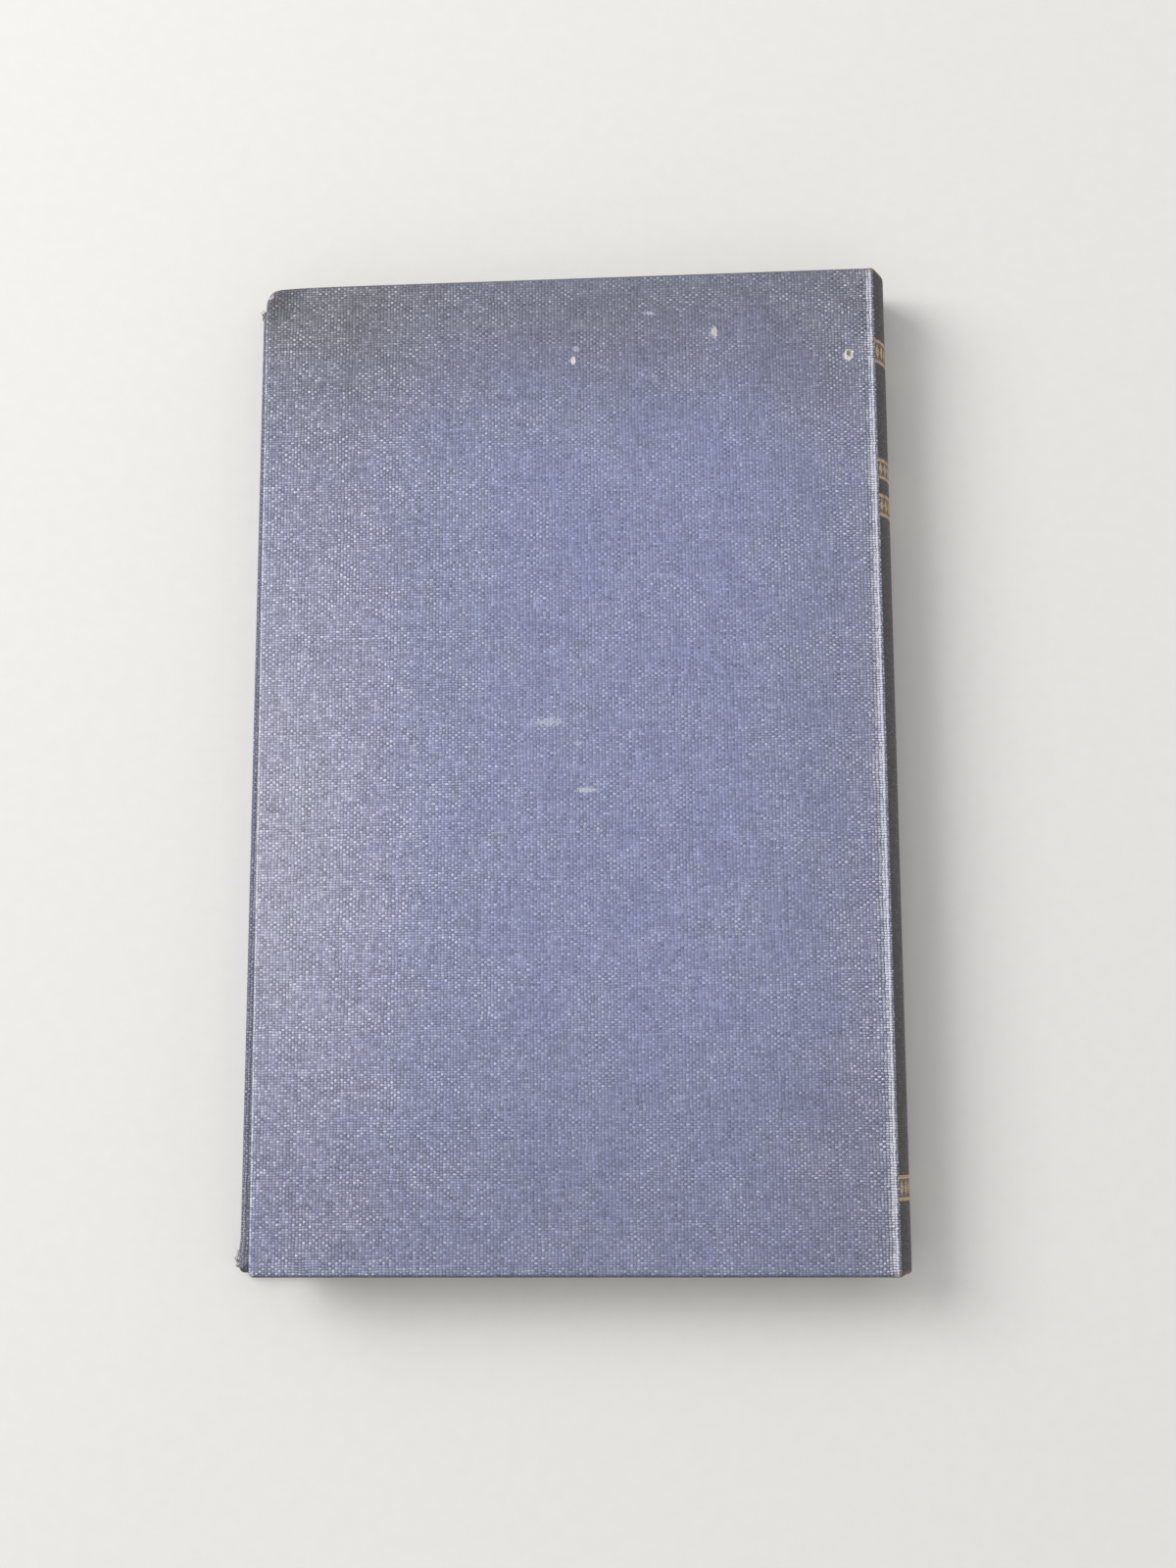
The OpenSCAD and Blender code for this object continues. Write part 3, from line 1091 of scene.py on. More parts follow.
    def marked(self, t: Tree, flat: Value, colour: Value) -> Value:
        """Adds the spots and scuffs that the photograph shows.

        Args:
            t: the material's tree.
            flat: place on the flat cloth, in millimetres.
            colour: colour under the marks.

        Returns:
            The colour with its marks.
        """
        view = PhotoView()
        for mark in MARKS:
            x, y = view.on_level(*mark.px, self.form.thick)
            centre = (x - self.form.fore_x(Side.REAR), y, 0.0)
            reach = (*mark.reach, 1.0)
            masks = SPOT.use(t, Place=flat, Centre=centre, Reach=reach, Ragged=mark.ragged)
            colour = t.blend(masks[mark.rim] * mark.strength, colour, mark.colour)
        return colour

    def gilt(self, at: ClothPlace, height: Value) -> Value:
        """Mask of the worn gilt bands across the spine: two rules with lozenges between.

        Args:
            at: tree and place.
            height: height of the threads.

        Returns:
            The mask of the gilt that is left.
        """
        t, flat, u, v = at
        middle = (self.plan.rear_ridge + self.plan.front_ridge) / 2
        off = u - middle
        inside = t.math("LESS_THAN", abs(off), self.gilt_half)
        step = 2 * self.gilt_half / self.gilt_steps
        in_row = t.math("PINGPONG", off + self.gilt_half, step / 2)
        from_tip = step / 2 - in_row
        mask = None
        for band in GILT_BANDS:
            centre = PhotoView().on_level(*band.px, 0.8 * self.form.thick)[1]
            rise = abs(v - centre)
            rule = t.ramp(abs(rise - band.tall / 2), 0.42, 0.3)
            lozenge = from_tip * 1.6 + rise * 2.6 / band.tall
            shape = t.most(rule, t.ramp(lozenge, 1.1, 0.95, 0.2, 1.0))
            shape = shape * t.math("LESS_THAN", rise, band.tall / 2 + 0.4)
            mask = shape if mask is None else t.most(mask, shape)
        left = t.ramp(t.noise(flat, 1.6, 3.0, 0.6), 0.32, 0.5, 0.25, 1.0)
        worn = left * t.ramp(height, 0.1, 0.6, 0.4, 0.95)
        return mask * inside * worn


@dataclass(frozen=True)
class PaperFinish(Finish):
    """Aged paper: clouded, a little darker at its edges, with fine fibres."""

    light: Colour = srgb(238, 231, 213)
    toned: Colour = srgb(214, 200, 170)
    fleck: Colour = srgb(158, 124, 86)
    half_size: tuple[float, float] = (62.0, 99.0)
    toned_edge: float = 14.0
    flecks: float = 0.5
    rough: float = 0.85

    def material(self) -> Material:
        """Makes the paper's material.

        Returns:
            The material.
        """
        material, t, shader = self.start()
        place = t.place()
        fibre, cloud, fleck = GRAIN.use(t, Place=place, Flecks=self.flecks)
        x, y, _ = t.split(place)
        far_x, far_y = (
            t.ramp(abs(value), (half - self.toned_edge) * MM, half * MM)
            for value, half in zip((x, y), self.half_size)
        )
        edge = t.most(far_x, far_y) * 0.45
        share = t.math("MULTIPLY_ADD", cloud, 0.5, edge, clamp=True)
        colour = t.blend(share, self.light, self.toned)
        colour = t.blend(t.ramp(fibre, 0.5, 0.75, 0.0, 0.18), colour, self.toned)
        colour = t.blend(fleck, colour, self.fleck)
        rough = fibre * 0.1 + (self.rough - 0.05)
        t.fill(shader, Base_Color=colour, Roughness=rough, Specular_IOR_Level=0.3)
        self.bump(t, shader, fibre, 0.03, 0.5)
        return material


@dataclass(frozen=True)
class LeafEdgeFinish(Finish):
    """Cut edges of the leaves, each with its own tone, dusty at the head."""

    light: Colour = srgb(226, 212, 180)
    toned: Colour = srgb(188, 164, 122)
    dust: Colour = srgb(150, 138, 120)
    dusty: tuple[float, float] = (0.0975, 0.0988)

    def material(self) -> Material:
        """Makes the material of the leaves.

        Returns:
            The material.
        """
        material, t, shader = self.start()
        place = t.place()
        own = t.stored("leaf_tone")
        fibre, cloud, fleck = GRAIN.use(t, Place=place, Flecks=0.4)
        colour = t.blend(own * 0.65 + cloud * 0.4, self.light, self.toned)
        _, y, _ = t.split(place)
        head = t.ramp(y, *self.dusty, 0.0, 0.45)
        uneven = head * t.ramp(t.noise(place, 160.0, 3.0), 0.3, 0.7, 0.5, 1.0)
        colour = t.blend(fleck, t.blend(uneven, colour, self.dust), self.dust)
        t.fill(shader, Base_Color=colour, Roughness=own * 0.1 + 0.8, Specular_IOR_Level=0.3)
        self.bump(t, shader, fibre, 0.04, 0.6)
        return material


@dataclass(frozen=True)
class ThreadFinish(Finish):
    """Wound cotton in two colours, by the turn of the thread."""

    first: Colour = srgb(158, 52, 44)
    second: Colour = srgb(226, 214, 186)
    attribute: str = "second_colour"

    def material(self) -> Material:
        """Makes the thread's material.

        Returns:
            The material.
        """
        material, t, shader = self.start()
        place = t.place()
        colour = t.blend(t.stored(self.attribute), self.first, self.second)
        fuzz = t.noise(place, 5200.0, 3.0, 0.7)
        colour = t.tinted(colour, t.ramp(fuzz, 0.25, 0.75, 0.6, 1.12))
        rough = t.ramp(fuzz, 0.2, 0.8, 0.7, 0.9)
        t.fill(shader, Base_Color=colour, Roughness=rough, Sheen_Weight=0.3)
        self.bump(t, shader, fuzz, 0.04, 0.7)
        return material


@dataclass(frozen=True)
class PressedFinish(Finish):
    """Pressed fibre stock: grey board, card or kraft paper."""

    light: Colour
    dark: Colour
    speck: Colour
    scale: float = 900.0

    def material(self) -> Material:
        """Makes the stock's material.

        Returns:
            The material.
        """
        material, t, shader = self.start()
        place = t.place()
        _, _, fleck = GRAIN.use(t, Place=place, Flecks=0.7)
        fibre = t.noise(place, self.scale, 4.0, 0.7)
        colour = t.blend(t.ramp(fibre, 0.3, 0.7), self.light, self.dark)
        colour, rough = t.blend(fleck, colour, self.speck), t.ramp(fibre, 0.3, 0.7, 0.82, 0.95)
        t.fill(shader, Base_Color=colour, Roughness=rough)
        self.bump(t, shader, fibre, 0.06, 0.6)
        return material


@dataclass(frozen=True)
class MullFinish(Finish):
    """Open cotton mull: thin threads with glue between them."""

    thread: Colour = srgb(226, 218, 196)
    glue: Colour = srgb(176, 152, 108)
    pitch: tuple[float, float, float] = (0.9, 0.9, 1.0)

    def material(self) -> Material:
        """Makes the mull's material.

        Returns:
            The material.
        """
        material, t, shader = self.start()
        place = t.place()
        flat = t.vector("MULTIPLY", place, (1 / MM, 1 / MM, 1 / MM))
        height, *_ = WEAVE.use(t, Flat_place=flat, Pitch=self.pitch, Wander=0.1)
        colour = t.blend(t.ramp(height, 0.2, 0.6), self.glue, self.thread)
        t.fill(shader, Base_Color=colour, Roughness=t.ramp(height, 0.1, 0.7, 0.5, 0.9))
        self.bump(t, shader, height, 0.12, 0.7)
        return material


def add_mesh(
    name: str,
    points: np.ndarray,
    faces: Sequence[Sequence[int]],
    material: Material,
    flat: np.ndarray | None = None,
) -> Thing:
    """A mesh object from points in millimetres.

    Args:
        name: name of the piece.
        points: one row of X, Y and Z for each vertex.
        faces: vertex numbers of each face.
        material: the piece's material.
        flat: place of each vertex on the flat sheet in millimetres, for the weave.

    Returns:
        The new object, with doubled vertices merged.
    """
    mesh = bpy.data.meshes.new(name)
    mesh.from_pydata((np.asarray(points) * MM).tolist(), [], faces)
    if flat is not None:
        layer = mesh.uv_layers.new(name=FLAT_MAP)
        corners = np.zeros(len(mesh.loops), np.int32)
        mesh.loops.foreach_get("vertex_index", corners)
        layer.data.foreach_set("uv", np.asarray(flat, np.float32)[corners].ravel())
    work = bmesh.new()
    work.from_mesh(mesh)
    bmesh.ops.remove_doubles(work, verts=work.verts, dist=0.002 * MM)
    for edge in work.edges:
        edge.smooth = not edge.is_boundary
    work.to_mesh(mesh)
    work.free()
    mesh.shade_smooth()
    mesh.materials.append(material)
    piece = bpy.data.objects.new(name, mesh)
    bpy.context.collection.objects.link(piece)
    return piece


def thicken(piece: Thing, thickness: float) -> None:
    """Gives a skin its thickness in millimetres, behind its faces.

    Args:
        piece: the skin.
        thickness: its thickness in millimetres.
    """
    wall = piece.modifiers.new("thickness", "SOLIDIFY")
    wall.thickness = thickness * MM
    wall.offset = -1.0
    wall.use_even_offset = False


def strips(rows: int, columns: int, first: int = 0, flip: bool = False) -> list[tuple[int, ...]]:
    """Quads between rows of a grid of vertices, numbered row by row from first.

    Args:
        rows, columns: size of the grid.
        first: number of its first vertex.
        flip: whether the faces look the other way.

    Returns:
        The vertex numbers of each face.
    """
    faces = []
    for i in range(rows - 1):
        for j in range(columns - 1):
            a = first + i * columns + j
            quad = (a, a + 1, a + columns + 1, a + columns)
            faces.append(quad[::-1] if flip else quad)
    return faces


@dataclass
class WrappedCloth:
    """A stretch of the covering cloth whose head and tail are turned in."""

    form: BookForm
    name: str
    face_inset: float = 3.2
    row_step: float = 3.0
    joint_depth: float = 0.84
    cap_dip: float = 0.45
    rear_dip_angles: tuple[float, float] = (44.0, 26.0)
    front_dip_angles: tuple[float, float] = (-76.0, -58.0)
    edge_steps: int = 6
    face_rings: int = 3
    inner_rings: tuple[float, ...] = (2.2, 4.5, 8.0, 12.0)
    offset: float = 0.0
    flat_sign: float = 1.0

    def profile(self, depth: float) -> tuple[np.ndarray, np.ndarray, np.ndarray]:
        """Insets, depths and flat distances over one free edge.

        Args:
            depth: distance between the outer and the inner line there.

        Returns:
            Three arrays with a row for each ring, from the outside to the turned-in edge.
        """
        form = self.form
        r = min(form.edge_r, depth / 2 - 0.01)
        turn = np.radians(np.linspace(0, 90, self.edge_steps))
        face = np.linspace(self.face_inset, r, self.face_rings + 1)[:-1]
        insets = [*face, *(r * (1 - np.sin(turn))), 0.0]
        depths = [0.0] * self.face_rings + [*(r * (1 - np.cos(turn))), depth / 2]
        flats = [*-face, *(-r + r * turn), -r + r * math.pi / 2 + depth / 2 - r]
        insets += [*(r * (1 - np.cos(turn)))]
        depths += [*(depth - r + r * np.sin(turn))]
        flats += [*(-r + r * math.pi / 2 + depth - 2 * r + r * turn)]
        inner = np.array([*self.inner_rings, form.turn_in])
        insets += [*inner]
        depths += [depth] * len(inner)
        flats += [*(flats[-1] + inner - r)]
        return np.array(insets), np.array(depths), np.array(flats)

    def row_count(self) -> int:
        """Number of rows of the outside, head to tail."""
        return int(2 * self.form.half_h / self.row_step) + 1

    def depth_past_ridge(self, distance: np.ndarray) -> np.ndarray:
        """Depth of the turned-in cloth at a distance past the ridge, towards the spine."""
        full = 2 * self.form.cloth_t + self.form.inlay_t
        return self.joint_depth + (full - self.joint_depth) * smooth(distance, 0.0, 0.9)

    def dip(self, outer: np.ndarray) -> np.ndarray:
        """How far the head and tail of the spine stand back, by place on the outer line.

        Args:
            outer: places in X and Z.

        Returns:
            One distance for each place.
        """
        away = outer - self.form.spine_c
        angle = np.degrees(np.arctan2(away[:, 1], away[:, 0]))
        rear, front = self.rear_dip_angles, self.front_dip_angles
        return self.cap_dip * smooth(angle, *rear) * smooth(angle, *front)

    def end_columns(
        self, outer: np.ndarray, inner: np.ndarray, along: np.ndarray, end: End
    ) -> tuple[np.ndarray, np.ndarray]:
        """Rings along the head or tail for the columns of an outer and an inner line.

        Args:
            outer: outer line in X and Z.
            inner: inner line in X and Z, with as many rows.
            along: flat distance of each column from the fore edge.
            end: head or tail.

        Returns:
            Points by ring and column, and their places on the flat cloth.
        """
        half_h, dips = self.form.half_h, self.dip(outer)
        columns, flats = [], []
        for p, q, reach, dip in zip(outer, inner, along, dips):
            room = float(np.linalg.norm(q - p))
            insets, depths, overs = self.profile(room)
            at = p + (q - p) / room * depths[:, None]
            y = end.out * (half_h - dip - insets)
            columns.append(np.stack([at[:, 0], y, at[:, 1]], axis=1))
            v = end.out * (half_h - dip + overs)
            flats.append(np.stack([np.full(len(v), reach), v], axis=1))
        return np.stack(columns, axis=1), np.stack(flats, axis=1)

    def face_rows(
        self, head: tuple[np.ndarray, np.ndarray], tail: tuple[np.ndarray, np.ndarray]
    ) -> tuple[np.ndarray, np.ndarray]:
        """Grid of the outside between the first rings of the head and the tail.

        Args:
            head, tail: points and flat places of the two ends.

        Returns:
            Points of the grid, and their flat places.
        """
        shares = np.linspace(0, 1, self.row_count())[:, None, None]
        face = head[0][0] * (1 - shares) + tail[0][0] * shares
        flat = head[1][0] * (1 - shares) + tail[1][0] * shares
        return face, flat

    def on_cloth(self, flat: np.ndarray) -> np.ndarray:
        """Places on the whole flat cloth, from places on this stretch."""
        return np.stack([self.offset + self.flat_sign * flat[:, 0], flat[:, 1]], axis=1)

    def wrap_length(self, depth: float) -> float:
        """Flat distance from an edge of the book to the end of the turned-in cloth."""
        return float(self.profile(depth)[2][-1])


@dataclass
class CoverCloth(WrappedCloth):
    """The covering cloth of one cover and its joint, up to the spine side of the ridge.

    The skin is a rectangle on the outside, and rings round its three free edges that go
    over the board edge and on to the turned-in cloth inside, mitred at the corners.
    """

    side: Side = Side.REAR
    head_corner_r: float = 1.0
    tail_corner_r: float = 1.0
    column_step: float = 3.0
    joint_steps: int = 9
    groove_depth: float = 0.34
    groove_shift: float = 0.74
    edge_angles: tuple[float, ...] = (82.0, 75.0, 68.0)
    rise_angle: float = 104.0
    wall_gap: float = 0.02
    over_steps: int = 9
    arc_steps: int = 6
    seam_angle: float = 30.0
    blend_past: float = 0.07
    blend_start: float = 0.15
    corner_steps: int = 7
    mitre_steps: int = 8
    knock_depth: float = 0.45
    knock_reach: float = 5.5
    edge_reach: float = 4.0
    bump_out: float = 0.75
    bump_place: float = 2.8
    bump_spread: tuple[float, float] = (1.8, 1.2)
    piece: Thing | None = field(default=None, init=False)

    def section(self) -> tuple[np.ndarray, np.ndarray]:
        """Outer and inner line of the cloth past the mitres, in X and Z.

        Returns:
            Two arrays with one row for each column of the mesh, from the fore side to the
            seam on the spine.
        """
        form, up = self.form, self.side.up
        edge, r = form.edge_x(self.side), form.edge_r
        corner = np.array([edge - (r - form.cloth_t), form.level(self.side, r)])
        start = form.fore_x(self.side) + form.turn_in + 2.0
        count = int((corner[0] - start) / self.column_step)
        face = [(x, form.level(self.side, 0)) for x in np.linspace(start, corner[0], count)]
        fall = [corner + r * polar(up * a) for a in self.edge_angles]
        groove = np.array([edge + self.groove_shift, form.level(self.side, self.groove_depth)])
        bead, bead_r = form.bead(self.side), form.ridge_r
        lift = up * self.rise_angle
        rise = bead + bead_r * polar(lift)
        down_dir, up_dir = polar(up * -22), polar(lift - up * 90)
        steps = self.joint_steps
        drop = fall[-1] + 0.25 * down_dir
        dip = bezier((fall[-1], drop, groove - [0.24, 0], groove), steps)
        climb = bezier((groove, groove + [0.24, 0], rise - 0.22 * up_dir, rise), steps)
        meet = form.bead_angle(self.side)
        over = [bead + bead_r * polar(a) for a in np.linspace(lift, meet, self.over_steps)[1:-1]]
        turns = np.linspace(meet, self.seam_angle, self.arc_steps)
        arc = form.spine_c + form.spine_r * polar(turns)
        outer = np.array([*face, *fall, *dip[1:], *climb[1:], *over, *arc])
        foot = np.array([edge + self.wall_gap, form.level(self.side, form.cover_depth)])
        inner = [(x, foot[1]) for x, _ in face]
        shares = (0.35, 0.7, 1.0)
        inner += [(corner[0] + (foot[0] - corner[0]) * share, foot[1]) for share in shares]
        under = groove + [0.0, -up * self.joint_depth]
        wall = bezier((foot, foot + [0.05, up * 0.7], under - [0.3, 0], under), steps)
        inner += list(wall[1:])
        last = np.array([*climb[1:], *over, *arc])
        tangent = np.gradient(last, axis=0)
        tangent[-1] = polar(self.seam_angle - up * 90)
        normal = np.stack([tangent[:, 1], -tangent[:, 0]], axis=1) * -up
        normal /= np.linalg.norm(normal, axis=1)[:, None]
        along = np.concatenate([[0], np.cumsum(np.linalg.norm(np.diff(last, axis=0), axis=1))])
        past = along - along[len(climb) - 1 + len(over)]
        inner += list(last - normal * self.depth_past_ridge(past)[:, None])
        return outer, np.array(inner)

    def distances(self) -> np.ndarray:
        """Flat distance of each column of the section from the fore edge.

        Returns:
            The distances in millimetres.
        """
        outer, _ = self.section()
        steps = np.linalg.norm(np.diff(outer, axis=0), axis=1)
        first = outer[0][0] - self.form.fore_x(self.side)
        return first + np.concatenate([[0], np.cumsum(steps)])

    def ridge_distance(self) -> float:
        """Flat distance from the fore edge to the crest of the ridge.

        Returns:
            The distance in millimetres.
        """
        outer, _ = self.section()
        crest = self.form.bead(self.side) + [0, self.side.up * self.form.ridge_r]
        nearest = np.argmin(np.linalg.norm(outer - crest, axis=1))
        return float(self.distances()[nearest])

    def end_line(self, end: End) -> tuple[np.ndarray, np.ndarray]:
        """Rings along the head or the tail, from the corner to the seam.

        Args:
            end: head or tail.

        Returns:
            Points by ring and column, and their places on the flat cloth.
        """
        form = self.form
        outer, inner = self.section()
        corner_r = self.head_corner_r if end is End.HEAD else self.tail_corner_r
        fore = form.fore_x(self.side) + end.out * form.skew(self.side) / 2
        insets, depths, overs = self.profile(form.cover_depth)
        mitre, mitre_flat = [], []
        for share in np.linspace(0, 1, self.mitre_steps)[:-1]:
            first = fore + np.maximum(corner_r, insets)
            x = first + (outer[0][0] - first) * share
            y = end.out * (form.half_h - insets)
            z = form.level(self.side, depths)
            mitre.append(np.stack([x, y, z], axis=1))
            v = end.out * (form.half_h + overs)
            mitre_flat.append(np.stack([x - form.fore_x(self.side), v], axis=1))
        rest, rest_flat = self.end_columns(outer, inner, self.distances(), end)
        points = np.concatenate([np.stack(mitre, axis=1), rest], axis=1)
        return points, np.concatenate([np.stack(mitre_flat, axis=1), rest_flat], axis=1)

    def corner_line(self, end: End) -> tuple[np.ndarray, np.ndarray]:
        """Rings round one fore corner, from the head or tail edge to the fore edge.

        Args:
            end: head or tail.

        Returns:
            Points by ring and column, and their places on the flat cloth.
        """
        form = self.form
        r = self.head_corner_r if end is End.HEAD else self.tail_corner_r
        fore = form.fore_x(self.side) + end.out * form.skew(self.side) / 2
        insets, depths, overs = self.profile(form.cover_depth)
        angles = np.radians(np.linspace(90, 0, self.corner_steps))
        points, flat = [], []
        for inset, depth, over in zip(insets, depths, overs):
            left, hub = max(r - inset, 0.0), max(r, inset)
            x = fore + hub - left * np.cos(angles)
            y = end.out * (form.half_h - hub + left * np.sin(angles))
            z = form.level(self.side, depth)
            points.append([(a, b, z) for a, b in zip(x, y)])
            u = r + fore - form.fore_x(self.side) - (r + over) * np.cos(angles)
            v = end.out * (form.half_h - r + (r + over) * np.sin(angles))
            flat.append(list(zip(u, v)))
        return np.array(points)[:, ::-1], np.array(flat)[:, ::-1]

    def fore_line(self) -> tuple[np.ndarray, np.ndarray]:
        """Rings along the fore edge, from head to tail.

        Returns:
            Points by ring and column, and their places on the flat cloth.
        """
        form = self.form
        insets, depths, overs = self.profile(form.cover_depth)
        count = self.row_count()
        points, flat = [], []
        for inset, depth, over in zip(insets, depths, overs):
            top = form.half_h - max(self.head_corner_r, inset)
            bottom = -form.half_h + max(self.tail_corner_r, inset)
            y = np.linspace(top, bottom, count)[1:-1]
            skew = form.skew(self.side) * y / (2 * form.half_h)
            x = form.fore_x(self.side) + skew + inset
            z = form.level(self.side, depth)
            points.append([(a, b, z) for a, b in zip(x, y)])
            flat.append([(shift - over, b) for shift, b in zip(skew, y)])
        return np.array(points), np.array(flat)

    def deform(self, points: np.ndarray) -> np.ndarray:
        """Bends the points where the cover is knocked or bumped.

        Args:
            points: X, Y and Z of each.

        Returns:
            The bent points.
        """
        form, out = self.form, points.copy()
        if self.side is Side.REAR:
            away = points[:, :2] - [form.fore_x(self.side), form.half_h]
            near = np.exp(-np.hypot(away[:, 0] * 0.8, away[:, 1]) / self.knock_reach)
            out[:, 2] -= self.knock_depth * near**1.5
            edge = np.exp(-away[:, 0] / self.edge_reach) * smooth(away[:, 1], -14, 0)
            out[:, 1] -= self.knock_depth * edge
        else:
            fore = form.fore_x(self.side) - form.skew(self.side) / 2
            away = (points[:, :2] - [fore, self.bump_place - form.half_h]) / self.bump_spread
            near = np.exp(-(away[:, 0] ** 2 + away[:, 1] ** 2))
            out[:, 0] -= self.bump_out * near
        return out

    def build(self, material: Material) -> Thing:
        """Makes the skin and gives it the cloth's thickness.

        Args:
            material: the cloth's material.

        Returns:
            The skin.
        """
        head, tail = self.end_line(End.HEAD), self.end_line(End.TAIL)
        start = [[array[:, ::-1] for array in line] for line in (head, self.corner_line(End.HEAD))]
        parts = [*start, self.fore_line(), self.corner_line(End.TAIL), tail]
        rings, ring_flats = (np.concatenate(arrays, axis=1) for arrays in zip(*parts))
        face, face_flat = self.face_rows(head, tail)
        points = np.concatenate([rings.reshape(-1, 3), face.reshape(-1, 3)])
        flat = np.concatenate([ring_flats.reshape(-1, 2), face_flat.reshape(-1, 2)])
        rear = self.side is Side.REAR
        faces = strips(*rings.shape[:2], flip=rear)
        faces += strips(*face.shape[:2], rings.shape[0] * rings.shape[1], flip=rear)
        self.piece = add_mesh(self.name, self.deform(points), faces, material, self.on_cloth(flat))
        thicken(self.piece, self.form.cloth_t)
        return self.piece

    def attach(self) -> None:
        """Bakes the cloth's placing into its mesh, hides the imported cloth and logs its flat size."""
        form, piece = self.form, self.piece
        meet = form.bead(self.side) + form.ridge_r * polar(form.bead_angle(self.side))
        start = Vector((meet[0] + self.blend_past, 0, form.level(self.side, 0))) * MM
        end = Vector((form.edge_x(self.side) + self.blend_start, 0, form.level(self.side, 0))) * MM
        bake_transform(piece)
        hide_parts(f"{self.side.value}_cloth")
        wrap = self.wrap_length(form.cover_depth)
        across, tall = self.distances()[-1] + wrap, 2 * (form.half_h + wrap)
        declare_sheet(piece, across, tall, 4 * wrap**2)


@dataclass
class SpineCloth(WrappedCloth):
    """The covering cloth round the back, between the seams beyond the two ridges."""

    rear_angle: float = 30.0
    front_angle: float = -60.0
    columns: int = 31
    piece: Thing | None = field(default=None, init=False)

    def length(self) -> float:
        """Flat width of this stretch."""
        return math.radians(self.rear_angle - self.front_angle) * self.form.spine_r

    def build(self, material: Material) -> Thing:
        """Makes the skin, its thickness and its turned-in ends.

        Args:
            material: the cloth's material.

        Returns:
            The skin.
        """
        form = self.form
        turns = np.linspace(self.rear_angle, self.front_angle, self.columns)
        depth = 2 * form.cloth_t + form.inlay_t
        outer = form.spine_c + form.spine_r * polar(turns)
        inner = form.spine_c + (form.spine_r - depth) * polar(turns)
        along = np.linspace(0, self.length(), self.columns)
        head = self.end_columns(outer, inner, along, End.HEAD)
        tail = self.end_columns(outer, inner, along, End.TAIL)
        face, face_flat = self.face_rows(head, tail)
        points = np.concatenate([head[0][::-1], face[1:-1], tail[0]])
        flat = np.concatenate([head[1][::-1], face_flat[1:-1], tail[1]])
        faces = strips(*points.shape[:2], flip=True)
        flat = self.on_cloth(flat.reshape(-1, 2))
        self.piece = add_mesh(self.name, points.reshape(-1, 3), faces, material, flat)
        thicken(self.piece, form.cloth_t)
        return self.piece

    def attach(self) -> None:
        """Fixes the cloth to the block, hides the imported one and logs its flat size."""
        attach(self.piece, "book_block")
        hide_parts("spine_cloth")
        wrap = self.wrap_length(2 * self.form.cloth_t + self.form.inlay_t)
        declare_sheet(self.piece, self.length(), 2 * (self.form.half_h + wrap), 0.0)


def declare_sheet(
    piece: Thing, across: float, tall: float, cut_away: float
) -> None:
    """Logs the flat size of a pasted-down piece of cloth, in millimetres.

    Args:
        piece: the cloth.
        across, tall: its flat width and height.
        cut_away: area that its mitres take.
    """
    area = (across * tall - cut_away) * MM**2
    flat = (across * MM, tall * MM)
    log.info("%s: flat %.1f by %.1f mm", piece.name, across, tall)


